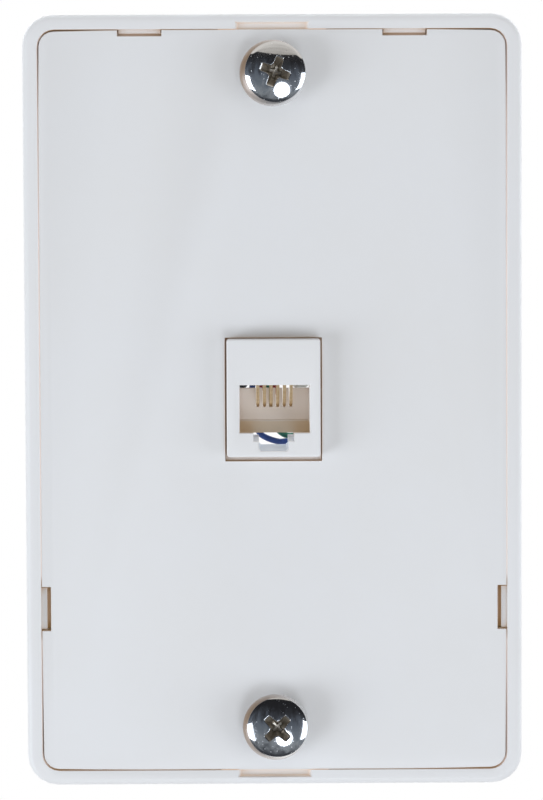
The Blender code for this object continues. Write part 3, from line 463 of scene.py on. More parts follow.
def slotted_screw(name, node, facing, size, turn):
    """A pan head with a slot, on a shank, whose head points towards +Y or -Y.

    The outline's (radius, height) rows are turned about Y. The columns of a row are bunched so that four of
    them always lie on the slot's two edges, at the angle whose sine is half the slot's width over the radius,
    and between those edges the surface is never higher than the slot's floor."""
    low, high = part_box(node)
    seat = high.y - size.head_height if facing > 0 else low.y + size.head_height
    length = (seat - low.y) if facing > 0 else (high.y - seat)
    crown = arc(0, 90, 9)[1:]
    ease = size.head_height * screw_crown_share
    half_slot = screw_slot_width / 2
    flat = size.head_radius - ease * screw_crown_width
    flat_radii = np.linspace(half_slot, flat, 6)[1:]
    radius = np.concatenate([
        [half_slot * screw_slot_inner_share, half_slot],
        flat_radii,
        flat + ease * screw_crown_width * np.sin(crown),
        [size.head_radius, size.shank_radius + screw_shank_ease, size.shank_radius],
        [size.shank_radius, size.shank_radius * screw_tip_share],
    ])
    height = np.concatenate([
        [size.head_height, size.head_height],
        np.full_like(flat_radii, size.head_height),
        size.head_height - ease * (1 - np.cos(crown)),
        [0, 0, -screw_shank_ease],
        [-length + size.shank_radius * screw_tip_length, -length],
    ])
    edge = np.arcsin(np.clip(half_slot / radius, 0, 1))[:, None]
    slot_columns = 9
    land_columns = 25
    across = np.linspace(-1, 1, slot_columns)[None, :]
    along = np.linspace(0, 1, land_columns)[None, :]
    slot_right = edge * across
    land_top = edge + (math.pi - 2 * edge) * along
    angle = np.concatenate([slot_right, land_top, slot_right + math.pi, land_top + math.pi], axis=1)
    half_turn = np.concatenate([np.ones(slot_columns), np.zeros(land_columns)])
    in_slot = np.concatenate([half_turn, half_turn])[None, :] > 0
    floor = size.head_height - size.slot_depth
    heights = np.where(in_slot, np.minimum(height[:, None], floor), height[:, None])
    centre = (low + high) / 2
    grid = np.stack([
        centre.x + radius[:, None] * np.cos(angle + turn),
        seat + facing * heights,
        centre.z + radius[:, None] * np.sin(angle + turn),
    ], axis=-1)
    return merged(skin(name, grid, screw_sharp_angle))


def smooth_route(knots, steps):
    """Points on the Catmull-Rom curve through the knots."""
    knots = np.array(knots)
    padded = np.concatenate([knots[:1] * 2 - knots[1:2], knots, knots[-1:] * 2 - knots[-2:-1]])
    a, b, c, d = (padded[i : len(padded) - 3 + i, None, :] for i in range(4))
    t = np.linspace(0, 1, steps, endpoint=False)[None, :, None]
    curve = 0.5 * (2 * b + (c - a) * t + (2 * a - 5 * b + 4 * c - d) * t**2 + (3 * b - a - 3 * c + d) * t**3)
    return np.concatenate([curve.reshape(-1, 3), knots[-1:]])


def tube(name, path, radius, sides=20):
    """A round tube with eased ends: at each station of the path a circle in the plane square to it."""
    end_share = 0.6
    end_length = 0.2
    first_side = (1.0, 0.0, 0.2)
    along = np.gradient(path, axis=0)
    along /= np.linalg.norm(along, axis=1, keepdims=True)
    side = np.cross(along[0], first_side)
    sides_along = []
    for direction in along:
        side = side - direction * np.dot(side, direction)
        side = side / np.linalg.norm(side)
        sides_along.append(side)
    side = np.array(sides_along)
    other = np.cross(along, side)
    centres = np.concatenate([path[:1], path, path[-1:]])
    sizes = np.concatenate([[radius * end_share], np.full(len(path), radius), [radius * end_share]])
    centres[0] = path[0] - along[0] * radius * end_length
    centres[-1] = path[-1] + along[-1] * radius * end_length
    side = np.concatenate([side[:1], side, side[-1:]])
    other = np.concatenate([other[:1], other, other[-1:]])
    turn = np.linspace(0, 2 * math.pi, sides, endpoint=False)[None, :, None]
    size = sizes[:, None, None]
    grid = centres[:, None, :] + size * (np.cos(turn) * side[:, None, :] + np.sin(turn) * other[:, None, :])
    return merged(skin(name, grid, round_sharp_angle))


def contact_x(index):
    """The contacts lie side by side at even steps about the port's middle."""
    return port_shift + (index - (contact_count - 1) / 2) * contact_pitch


def contact_path(x):
    """Forward over the jack's roof, round a half bend, then back and down to the comb in a straight line."""
    bend_y = contact_front + contact_setback + contact_radius + contact_bend_radius
    bend_z = contact_height - contact_bend_radius
    slope = math.atan2(bend_z - contact_bend_radius - contact_tip.z, contact_tip.y - bend_y)
    back = np.linspace(contact_back, bend_y, 6)[:-1]
    roof = np.stack([np.full_like(back, x), back, np.full_like(back, contact_height)], axis=-1)
    bend = np.linspace(math.pi / 2, math.pi * 1.5 - slope, 16)
    turned = np.stack([
        np.full_like(bend, x),
        bend_y + contact_bend_radius * np.cos(bend),
        bend_z + contact_bend_radius * np.sin(bend),
    ], axis=-1)
    down = np.linspace(turned[-1], (x, contact_tip.y, contact_tip.z), 8)[1:]
    return np.concatenate([roof, turned, down])


def lead_path(colour, index):
    """A smooth curve from the contact's end through the lead's points, then bent into its lug's barrel."""
    side, row, passes = lead_routes[colour]
    x = contact_x(index)
    start = np.array((x, contact_back + lead_start_gap, contact_height))
    mouth = np.array((side * lug_mouth_offset, lug_barrel_depth, row * terminal_pitch))
    bend = mouth + np.array((-side * lead_sweep, lead_sweep / 3, -row * lead_sweep / 2))
    approach = mouth - np.array((side * lead_radius * 2, 0, 0))
    end = mouth + np.array((side * lug_barrel_length / 2, 0, 0))
    return smooth_route([start, *np.array(passes) * MM, bend, approach, mouth, end], 8)


# Shader effects that several materials share

COLOUR = "NodeSocketColor"
VALUE = "NodeSocketFloat"
black = (0.0, 0.0, 0.0, 1.0)
grey = (0.8, 0.8, 0.8, 1.0)


def feed(tree, socket, value):
    """The socket takes a value or another node's output."""
    if isinstance(value, bpy.types.NodeSocket):
        tree.links.new(value, socket)
    else:
        socket.default_value = value


def feed_named(tree, node, **sockets):
    """Named inputs of the node, with _ for a space in a name."""
    for label, value in sockets.items():
        feed(tree, node.inputs[label.replace("_", " ")], value)


def put(tree, kind, values=(), settings=None, **sockets):
    """A node with its settings, numbered inputs and named inputs, each a value or another node's output."""
    made = tree.nodes.new(f"ShaderNode{kind}")
    for key, value in (settings or {}).items():
        setattr(made, key, value)
    for socket, value in zip(made.inputs, values):
        feed(tree, socket, value)
    feed_named(tree, made, **sockets)
    return made


def maths(tree, operation, *values):
    """The result of one step of arithmetic."""
    return put(tree, "Math", values, {"operation": operation}).outputs[0]


def change(tree, value, start, stop, low=0.0, high=1.0, curve="LINEAR"):
    """From low to high as the value goes from start to stop."""
    settings = {"interpolation_type": curve}
    return put(tree, "MapRange", (value, start, stop, low, high), settings).outputs[0]


def object_place(tree):
    return put(tree, "TexCoord").outputs["Object"]


def axes_of(tree, place):
    """The place's X, Y and Z."""
    return put(tree, "SeparateXYZ", (place,)).outputs


def noise(tree, place, scale, detail, **sockets):
    return put(tree, "TexNoise", Vector=place, Scale=scale, Detail=detail, **sockets).outputs["Fac"]


def blend(tree, share, first, second):
    """From the first colour to the second as the share goes from 0 to 1."""
    made = put(tree, "Mix", settings={"data_type": "RGBA"})
    for index, value in ((0, share), (6, first), (7, second)):
        feed(tree, made.inputs[index], value)
    return made.outputs[2]


def blend_values(tree, share, first, second):
    made = put(tree, "Mix")
    for index, value in ((0, share), (2, first), (3, second)):
        feed(tree, made.inputs[index], value)
    return made.outputs[0]


def opaque(colour):
    return (*colour, 1.0)


def ramp(tree, value, stops):
    """A colour for each value between stops of place and colour."""
    made = put(tree, "ValToRGB", (value,))
    elements = made.color_ramp.elements
    elements[0].position, elements[1].position = stops[0][0], stops[-1][0]
    inner = [elements.new(place) for place, colour in stops[1:-1]]
    for element, (place, colour) in zip((elements[0], *inner, elements[-1]), stops):
        element.color = opaque(colour)
    return made.outputs["Color"]


def effect(name, inputs, outputs):
    """An empty node group: its inputs by name with their defaults, its outputs by name with their kinds."""
    group = bpy.data.node_groups.new(name, "ShaderNodeTree")
    for label, value in inputs.items():
        kind = COLOUR if isinstance(value, tuple) else VALUE
        group.interface.new_socket(label, in_out="INPUT", socket_type=kind).default_value = value
    for label, kind in outputs.items():
        group.interface.new_socket(label, in_out="OUTPUT", socket_type=kind)
    return group, group.nodes.new("NodeGroupInput").outputs, group.nodes.new("NodeGroupOutput").inputs


def painted_gap_shade_effect():
    """A painted shade: a warm tone in gaps, seams and inner corners, in place of light that has bounced off
    plastic many times there, and a painted glow for the little of it that shines through."""
    group, given, out = effect(
        "painted_gap_shade",
        {"Surface": grey, "Gap": grey, "Through": black, "Reach": 3 * MM, "Amount": 0.8},
        {"Colour": COLOUR, "PaintedGlow": COLOUR},
    )
    gap_start = 0.78
    gap_full = 0.15
    # Painted shade and glow where ambient occlusion finds the surface closed in
    occlusion = put(group, "AmbientOcclusion", settings={"samples": 8}, Distance=given["Reach"])
    closed = change(group, occlusion.outputs["AO"], gap_start, gap_full, curve="SMOOTHSTEP")
    share = maths(group, "MULTIPLY", closed, given["Amount"])
    feed(group, out["Colour"], blend(group, share, given["Surface"], given["Gap"]))
    feed(group, out["PaintedGlow"], blend(group, closed, black, given["Through"]))
    return group


def painted_port_light_effect():
    """A painted glow for the light that shines through the jack's thin walls into its port, a browner painted
    shade on the sill, and a cooler painted glow in the latch notch below: the glow changes with the height
    and stays within the port's width."""
    group, given, out = effect(
        "painted_port_light",
        {"Warm": black, "Sill": black, "Cool": black},
        {"PaintedGlow": COLOUR, "PaintedSillShade": VALUE},
    )
    x, y, z = axes_of(group, object_place(group))
    across = maths(group, "COMPARE", x, port_shift, port_half_width)
    upright = maths(group, "COMPARE", z, port_middle, port_half_height)
    deep = maths(group, "GREATER_THAN", y, port_light_start)
    inside = maths(group, "MULTIPLY", maths(group, "MULTIPLY", across, upright), deep)
    over_notch = change(group, z, latch_top, latch_top + latch_blend)
    over_sill = change(group, z, port_sill, port_sill + sill_blend)
    light = blend(group, over_notch, given["Cool"], given["Sill"])
    light = blend(group, over_sill, light, given["Warm"])
    on_sill = maths(group, "SUBTRACT", over_notch, over_sill)
    feed(group, out["PaintedGlow"], blend(group, inside, black, light))
    feed(group, out["PaintedSillShade"], maths(group, "MULTIPLY", inside, on_sill))
    return group


def seam_painted_light_effect():
    """Painted light for the cover's seams: a share that changes with the height and across the width, and the
    painted glow that it gives the seams, dim where the share is low and bright where it is high, with its own
    glow in the two screwdriver recesses."""
    group, given, out = effect(
        "seam_painted_light",
        {"Loose": black, "Close": black, "Recess": black},
        {"Fit": VALUE, "Light": COLOUR},
    )
    x, y, z = axes_of(group, object_place(group))
    aside = maths(group, "ABSOLUTE", x)
    away = maths(group, "ABSOLUTE", z)
    rise = change(group, z, seam_light_bottom * MM, seam_light_top * MM)
    stops = [((height - seam_light_bottom) / (seam_light_top - seam_light_bottom), (seam_light_share,) * 3) for height, seam_light_share in seam_heights]
    seam_light_share = maths(group, "MULTIPLY", ramp(group, rise, stops), change(group, aside, jack_zone, seam_light_zone))
    beyond = maths(group, "GREATER_THAN", away, pry_start)
    within = maths(group, "LESS_THAN", aside, pry_half_width)
    light = blend(group, seam_light_share, given["Loose"], given["Close"])
    light = blend(group, maths(group, "MULTIPLY", beyond, within), light, given["Recess"])
    feed(group, out["Light"], light)
    feed(group, out["Fit"], seam_light_share)
    return group


def mould_grain_effect():
    """The height of a spark-eroded mould's grain: fine noise over coarser noise in the object's own space."""
    group, given, out = effect("mould_grain", {"Fine": 6000.0, "Coarse": 1500.0}, {"Height": VALUE})
    place = object_place(group)
    fine = noise(group, place, given["Fine"], 2.0)
    coarse = noise(group, place, given["Coarse"], 3.0)
    feed(group, out["Height"], maths(group, "ADD", fine, coarse))
    return group


def handling_effect():
    """Soft clouds of handling and cleaning: a shade for the colour and a value for the roughness."""
    group, given, out = effect(
        "handling",
        {"Size": 60.0, "Colour": grey, "Marked": grey, "Smooth": 0.35, "Rough": 0.45},
        {"Colour": COLOUR, "Roughness": VALUE},
    )
    cloud_start = 0.35
    cloud_full = 0.65
    cloud = noise(group, object_place(group), given["Size"], 5.0, Roughness=0.6)
    mask = change(group, cloud, cloud_start, cloud_full)
    feed(group, out["Colour"], blend(group, mask, given["Colour"], given["Marked"]))
    feed(group, out["Roughness"], blend_values(group, mask, given["Smooth"], given["Rough"]))
    return group


painted_gap_shade = painted_gap_shade_effect()
seam_painted_light = seam_painted_light_effect()
painted_port_light = painted_port_light_effect()
mould_grain = mould_grain_effect()
handling = handling_effect()


# Materials, with their colours as linear red, green and blue

white_moulding = (0.80, 0.80, 0.80)
# A little lighter than the cover's white for the frame and jack: partly painted light, lifting the frame's
# top border, which gets less light
bright_moulding = (0.82, 0.82, 0.82)
# Painted shade colours for gaps and corners of the white plastics and of the jack
warm_painted_gap_shade = (0.60, 0.49, 0.40)
jack_painted_gap_shade = (0.54, 0.42, 0.33)
# A browner painted shade for the port's sill
brown_painted_sill_shade = (0.68, 0.57, 0.44)
ivory = (0.82, 0.76, 0.70)
# Painted shade for the comb's gaps and corners
ivory_painted_gap_shade = (0.66, 0.56, 0.48)
block_grey = (0.50, 0.50, 0.49)
# Painted shade for the block's gaps and corners
block_painted_gap_shade = (0.28, 0.26, 0.24)
chrome_clear = (0.88, 0.88, 0.89)
chrome_hazed = (0.82, 0.83, 0.84)
# The rim's painted reflection: a tan in place of the shaded cover that the rim mirrors
chrome_rim_painted_reflection = (0.28, 0.185, 0.115)
chrome_recess_brown = (0.46, 0.41, 0.34)
# Painted glow on the comb's sill and on the gilt contacts
comb_sill_light = (0.06, 0.045, 0.03)
gilt_light = (0.05, 0.035, 0.015)
plastic_mark_shares = (0.985, 0.98, 0.97)
vinyl_dull_share = 0.82
vinyl_dull_lift = 0.02
# Painted shade where leads touch, as a share of the vinyl's colour
vinyl_painted_shade_share = 0.35
# Painted light for the seams of the cover and frame: a darker, warmer painted shade where the share is low,
# then the painted glow where it is low, where it is high and in the screwdriver recesses
cover_seam_painted_light = Seam(
    loose_gap=(0.50, 0.37, 0.28),
    loose=(0.085, 0.05, 0.015),
    close=(0.31, 0.31, 0.33),
    recess=(0.29, 0.215, 0.15),
)


def new_material(name, metallic, coat=0.0):
    material = bpy.data.materials.new(name)
    material.use_nodes = True
    tree = material.node_tree
    shader = tree.nodes["Principled BSDF"]
    feed_named(tree, shader, Metallic=metallic, Coat_Weight=coat)
    return material, tree, shader


def grouped(tree, group, **sockets):
    return put(tree, "Group", settings={"node_tree": group}, **sockets).outputs


def clouded(tree, colour, marked, shine):
    return grouped(
        tree,
        handling,
        Size=shine.clouds,
        Colour=opaque(colour),
        Marked=opaque(marked),
        Smooth=shine.smooth,
        Rough=shine.rough,
    )


def roughened(tree, shader, grain):
    """The grain as bump."""
    height = grouped(tree, mould_grain, Fine=grain.fine, Coarse=grain.coarse)["Height"]
    bump = put(tree, "Bump", Strength=grain.strength, Distance=grain.depth, Height=height)
    feed_named(tree, shader, Normal=bump.outputs["Normal"])


def finish_material(name, colour, marked, gap, shine, grain, metallic=0.0, coat=0.0, seam=None):
    """Clouds of handling over the colour, painted shade in gaps and corners, and a grain or hammering as
    bump.

    A seam adds a darker, warmer painted shade in gaps where its share of painted light is low, and a painted
    glow there, dim where the share is low, bright where it is high and in the recesses."""
    material, tree, shader = new_material(name, metallic, coat)
    surface = clouded(tree, colour, marked, shine)
    # Painted shade for gaps and corners, and the seams' painted glow
    painted_gap_colour = opaque(gap.colour)
    through = black
    if seam:
        seam_paint = grouped(
            tree, seam_painted_light, Loose=opaque(seam.loose), Close=opaque(seam.close), Recess=opaque(seam.recess)
        )
        painted_gap_colour = blend(tree, seam_paint["Fit"], opaque(seam.loose_gap), opaque(gap.colour))
        through = seam_paint["Light"]
    toned = grouped(
        tree,
        painted_gap_shade,
        Surface=surface["Colour"],
        Gap=painted_gap_colour,
        Through=through,
        Reach=gap.reach,
        Amount=gap.amount,
    )
    feed_named(tree, shader, Base_Color=toned["Colour"], Roughness=surface["Roughness"])
    # The painted glow goes in as emission
    if seam:
        feed_named(tree, shader, Emission_Color=toned["PaintedGlow"], Emission_Strength=1.0)
    roughened(tree, shader, grain)
    return material


def with_painted_port_light_and_shade(material, warm, sill, cool):
    """The material takes the port's painted glow as emission, and a browner painted shade on the port's sill.
    """
    tree = material.node_tree
    shader = tree.nodes["Principled BSDF"]
    light = grouped(tree, painted_port_light, Warm=opaque(warm), Sill=opaque(sill), Cool=opaque(cool))
    tone = shader.inputs["Base Color"].links[0].from_socket
    sill_shaded = blend(tree, light["PaintedSillShade"], tone, opaque(brown_painted_sill_shade))
    feed_named(tree, shader, Base_Color=sill_shaded, Emission_Color=light["PaintedGlow"], Emission_Strength=1.0)
    return material


# A moulded plastic whose gaps and corners take a painted shade
def plastic(name, colour, gap, smooth=0.36, rough=0.46, grain_strength=0.12, seam=None):
    return finish_material(
        name,
        colour,
        marked=tuple(channel * share for channel, share in zip(colour, plastic_mark_shares)),
        gap=Gap(gap, reach=1.6 * MM, amount=0.9),
        shine=Shine(smooth, rough, clouds=45.0),
        grain=Grain(fine=7000.0, coarse=1600.0, depth=0.02 * MM, strength=grain_strength),
        seam=seam,
    )


def metal(name, colour, marked, gap, shine, grain):
    # Painted shade in the metal's gaps and corners
    gap = Gap(gap, reach=1.0 * MM, amount=0.5)
    return finish_material(name, colour, marked, gap, shine, grain, metallic=1.0)


def insulation(name, colour):
    """Soft vinyl: the colour, dulled in clouds, with a painted shade where leads touch."""
    # The painted shade's colour: a darker share of the vinyl's own
    deep = tuple(channel * vinyl_painted_shade_share for channel in colour)
    return finish_material(
        name,
        colour,
        marked=tuple(channel * vinyl_dull_share + vinyl_dull_lift for channel in colour),
        gap=Gap(deep, reach=1.0 * MM, amount=0.6),
        shine=Shine(smooth=0.3, rough=0.42, clouds=260.0),
        grain=Grain(fine=9000.0, coarse=900.0, depth=0.01 * MM, strength=0.15),
        coat=0.15,
    )


def speck_mask(tree):
    """A few small specks: the middles of scattered cells, in one cell of ten."""
    pit_edge = 0.34
    pit_middle = 0.22
    cells = put(tree, "TexVoronoi", Vector=object_place(tree), Scale=3200.0).outputs
    pit = change(tree, cells["Distance"], pit_edge, pit_middle)
    pick = put(tree, "SeparateColor", (cells["Color"],)).outputs[0]
    return maths(tree, "MULTIPLY", pit, maths(tree, "GREATER_THAN", pick, 0.9))


def chrome_material():
    """A plated mirror under a faint haze, with specks, a painted reflection at the rim, where a satin tan
    stands in for the shaded cover that the rim mirrors, and dull and brownish in the recess."""
    speck_roughness = 0.42
    painted_rim_roughness = 0.5
    painted_rim_metallic = 0.1
    recess_roughness = 0.34
    recess_metal = 0.85
    material, tree, shader = new_material("polished_chrome_finish", 1.0, 0.6)
    feed_named(tree, shader, Coat_Roughness=0.28, Coat_IOR=1.8)
    surface = clouded(tree, chrome_clear, chrome_hazed, Shine(smooth=0.04, rough=0.11, clouds=420.0))
    recess = put(tree, "Attribute", settings={"attribute_name": "recess"}).outputs["Fac"]
    rim = put(tree, "Attribute", settings={"attribute_name": "rim"}).outputs["Fac"]
    # The rim's painted reflection: a satin tan, rougher and barely metallic, in place of the shaded cover
    # that it mirrors
    rim_painted = blend(tree, rim, surface["Colour"], opaque(chrome_rim_painted_reflection))
    specked = blend_values(tree, speck_mask(tree), surface["Roughness"], speck_roughness)
    painted_rim = blend_values(tree, rim, specked, painted_rim_roughness)
    plated = blend_values(tree, rim, 1.0, painted_rim_metallic)
    feed_named(
        tree,
        shader,
        Base_Color=blend(tree, recess, rim_painted, opaque(chrome_recess_brown)),
        Roughness=blend_values(tree, recess, painted_rim, recess_roughness),
        Metallic=blend_values(tree, recess, plated, recess_metal),
    )
    roughened(tree, shader, Grain(fine=5000.0, coarse=700.0, depth=0.001 * MM, strength=0.1))
    return material


cover_plastic = plastic("cover_plastic", white_moulding, warm_painted_gap_shade, seam=cover_seam_painted_light)
frame_plastic = plastic("frame_plastic", bright_moulding, warm_painted_gap_shade, 0.4, 0.5, seam=cover_seam_painted_light)
# The jack, the comb and the contacts take the port's painted glow as emission and a browner painted shade on
# its sill
jack_plastic = with_painted_port_light_and_shade(
    plastic("jack_plastic", bright_moulding, jack_painted_gap_shade, 0.3, 0.4),
    warm=(0.075, 0.062, 0.054),
    sill=(0.06, 0.045, 0.028),
    cool=(0.11, 0.15, 0.20),
)
comb_plastic = with_painted_port_light_and_shade(
    plastic("comb_plastic", ivory, ivory_painted_gap_shade),
    warm=(0.068, 0.053, 0.044),
    sill=comb_sill_light,
    cool=comb_sill_light,
)
block_plastic = plastic("block_plastic", block_grey, block_painted_gap_shade, 0.45, 0.6, grain_strength=0.4)
chrome = chrome_material()
# Each metal's third colour below is its painted shade in gaps and corners
gilt_wire = metal(
    "gilt_wire_finish",
    colour=(0.88, 0.76, 0.54),
    marked=(0.76, 0.62, 0.40),
    gap=(0.52, 0.40, 0.24),
    shine=Shine(smooth=0.30, rough=0.42, clouds=900.0),
    grain=Grain(fine=9000.0, coarse=1800.0, depth=0.004 * MM, strength=0.2),
)
gilt = with_painted_port_light_and_shade(gilt_wire, warm=gilt_light, sill=gilt_light, cool=gilt_light)
steel = metal(
    "zinc_plated_steel",
    colour=(0.66, 0.66, 0.64),
    marked=(0.52, 0.52, 0.50),
    gap=(0.20, 0.18, 0.15),
    shine=Shine(smooth=0.25, rough=0.42, clouds=700.0),
    grain=Grain(fine=8000.0, coarse=2200.0, depth=0.006 * MM, strength=0.3),
)
brass = metal(
    "tinned_brass_finish",
    colour=(0.72, 0.68, 0.58),
    marked=(0.60, 0.53, 0.40),
    gap=(0.25, 0.19, 0.12),
    shine=Shine(smooth=0.28, rough=0.45, clouds=800.0),
    grain=Grain(fine=7000.0, coarse=1700.0, depth=0.005 * MM, strength=0.25),
)
vinyl_colours = {
    "blue": (0.02, 0.07, 0.30),
    "yellow": (0.75, 0.50, 0.04),
    "green": (0.02, 0.20, 0.12),
    "red": (0.42, 0.02, 0.02),
    "black": (0.025, 0.025, 0.028),
    "white": (0.76, 0.75, 0.70),
}
insulations = {name: insulation(f"{name}_vinyl", colour) for name, colour in vinyl_colours.items()}


# Pieces


def raise_top(piece, rise):
    """The piece's highest points go up, with the rounded edge below them."""
    points = np.empty(len(piece.data.vertices) * 3, dtype=np.float32)
    piece.data.vertices.foreach_get("co", points)
    heights = points[2::3]
    heights[heights > heights.max() - comb_top_band] += rise
    piece.data.vertices.foreach_set("co", points)
    piece.data.update()


def dress_plastics():
    for node, edge, material, slot in (
        ("frame", 0.12 * MM, frame_plastic, "white_plastic"),
        ("cover", 0.08 * MM, cover_plastic, "white_plastic"),
        ("jack_housing", 0.14 * MM, jack_plastic, "white_plastic"),
        ("contact_comb", 0.06 * MM, comb_plastic, "ivory_plastic"),
        ("terminal_block", 0.15 * MM, block_plastic, "grey_plastic"),
        ("upper_stud_nut", 0.08 * MM, steel, "plated_steel"),
        ("lower_stud_nut", 0.08 * MM, steel, "plated_steel"),
    ):
        dress(softened_copy(node, f"{node}_finish", edge), material, slot, node)
    raise_top(bpy.data.objects["contact_comb_finish"], comb_rise)


def notch_ledge(name, middle, along, across, length):
    """A rounded bar along one axis, whose section is a superellipse of exponent four.

    The section's size is (1 - travel**8) ** (1 / 4) as travel goes from -1 at one end to 1 at the other, so
    that the ends are rounded too and almost close."""
    almost = 0.999
    travel = np.linspace(-1, 1, 25)
    size = (1 - travel**8 * almost) ** (1 / 4)
    turn = np.linspace(0, 2 * math.pi, 32, endpoint=False)
    wide = np.sign(np.cos(turn)) * np.sqrt(np.abs(np.cos(turn))) * ledge_width / 2
    deep = np.sign(np.sin(turn)) * np.sqrt(np.abs(np.sin(turn))) * ledge_thickness / 2
    grid = (
        np.array(middle)
        + np.array(along) * (travel * length / 2)[:, None, None]
        + np.array(across) * (size[:, None] * wide)[:, :, None]
        + np.array((0, 1, 0)) * (size[:, None] * deep)[:, :, None]
    )
    return merged(skin(name, grid, round_sharp_angle))


def dress_notches():
    """A ledge behind each notch, level with the cover's lip there."""
    for sign, side in ((-1, "left"), (1, "right")):
        top = (sign * top_notch_offset, ledge_depth, recess_height / 2 - top_ledge_inset)
        ledge = notch_ledge(f"top_{side}_ledge", top, (1, 0, 0), (0, 0, 1), ledge_length)
        dress(ledge, cover_plastic, "white_plastic")
        beside = (sign * (recess_width / 2 - side_ledge_inset), ledge_depth, side_notch_height)
        ledge = notch_ledge(f"{side}_ledge", beside, (0, 0, 1), (1, 0, 0), ledge_length)
        dress(ledge, cover_plastic, "white_plastic")


def dress_studs():
    """Each stud with its cross's turn in degrees, its dome's offset and its head's lean in millimetres."""
    for name, degrees, offset, lean in (
        ("upper_stud", -20, (0.36, 0.15), (0.08, 0.25)),
        ("lower_stud", 45, (0.24, 0.07), (0.12, 0.0)),
    ):
        low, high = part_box(name)
        middle = (low + high) / 2
        centre = (middle.x, middle.z)
        dome_offset = np.array(offset) * MM
        head_lean = np.array(lean) * MM
        stud = chromed_stud(f"{name}_chromed", centre, math.radians(degrees), dome_offset, head_lean)
        dress(stud, chrome, "polished_chrome", name)


def dress_contacts():
    for index in range(contact_count):
        wire = tube(f"gilt_contact_{index + 1}", contact_path(contact_x(index)), contact_radius, 16)
        dress(wire, gilt, "gold_wire", f"contact_{index + 1}")


def dress_wiring():
    for index, colour in enumerate(lead_routes):
        lead = tube(f"{colour}_insulated_lead", lead_path(colour, index), lead_radius)
        dress(lead, insulations[colour], f"{colour}_insulation", f"{colour}_lead")
        lug = softened_copy(f"{colour}_lug", f"{colour}_spade_lug", 0.06 * MM)
        dress(lug, brass, "tinned_brass", f"{colour}_lug")
        node = f"{colour}_terminal_screw"
        turn = screw_turn_start + screw_turn_step * index
        screw = slotted_screw(f"{colour}_slotted_screw", node, 1, terminal_screw_size, turn)
        dress(screw, steel, "plated_steel", node)
    for label, turn in (("upper", 0.4), ("lower", -0.4)):
        node = f"{label}_block_screw"
        screw = slotted_screw(f"{label}_block_slotted_screw", node, -1, block_screw_size, turn)
        dress(screw, steel, "plated_steel", node)


# Camera, lamps and surroundings


def place_camera():
    """The photograph's view: turned right by the yaw, down by the pitch and about its line by the roll."""
    forward = Vector((
        math.sin(camera_yaw) * math.cos(camera_pitch),
        math.cos(camera_yaw) * math.cos(camera_pitch),
        -math.sin(camera_pitch),
    ))
    level = forward.cross(Vector((0, 0, 1))).normalized()
    upright = level.cross(forward)
    right = level * math.cos(camera_roll) + upright * math.sin(camera_roll)
    up = upright * math.cos(camera_roll) - level * math.sin(camera_roll)
    data = bpy.data.cameras.new("photo_camera")
    data.sensor_width = sensor_size
    data.lens = sensor_size * focal_pixels / max(photo_width, photo_height)
    data.clip_start = nearest_seen
    data.clip_end = farthest_seen
    camera = in_scene("photo_camera", data)
    turn = Matrix((right, up, -forward)).transposed().to_4x4()
    camera.matrix_world = Matrix.Translation(camera_aim - forward * camera_distance) @ turn
    bpy.context.scene.camera = camera


def towards(azimuth, elevation):
    """The direction from the part: azimuth 0 is in front and positive to the right, elevation is up."""
    a = math.radians(azimuth)
    e = math.radians(elevation)
    return Vector((math.sin(a) * math.cos(e), -math.cos(a) * math.cos(e), math.sin(e)))


def unseen_by(piece, *rays):
    for ray in rays:
        setattr(piece, f"visible_{ray}", False)


def soft_box(name, box):
    """An even lamp that gives a surface facing it its level of plain light: its power is pi squared times the
    level times the distance squared."""
    data = bpy.data.lights.new(name, "AREA")
    data.shape = "RECTANGLE"
    data.size = box.width
    data.size_y = box.height
    data.energy = box.level * math.pi**2 * box.distance**2
    data.color = lamp_colour
    lamp = in_scene(name, data)
    direction = towards(box.azimuth, box.elevation)
    lamp.location = direction * box.distance
    lamp.rotation_mode = "QUATERNION"
    lamp.rotation_quaternion = direction.to_track_quat("Z", "Y")
    unseen_by(lamp, "camera")
    return lamp


def place_lamps():
    lamps = {name: soft_box(name, box) for name, box in soft_boxes.items()}
    lamps["round_box"].data.shape = "DISK"
    unseen_by(lamps["top_fill"], "glossy")


def glow_material(name):
    """A material that only shines: its tree and the node whose colour sets what it shines."""
    material = bpy.data.materials.new(name)
    material.use_nodes = True
    tree = material.node_tree
    tree.nodes.clear()
    glow = put(tree, "Emission", Strength=1.0)
    put(tree, "OutputMaterial", Surface=glow.outputs[0])
    return material, tree, glow.inputs["Color"]


def only_reflected(piece):
    """Seen in shiny surfaces alone: it throws no light or shadow and no camera sees it."""
    unseen_by(piece, "camera", "diffuse", "transmission", "volume_scatter", "shadow")


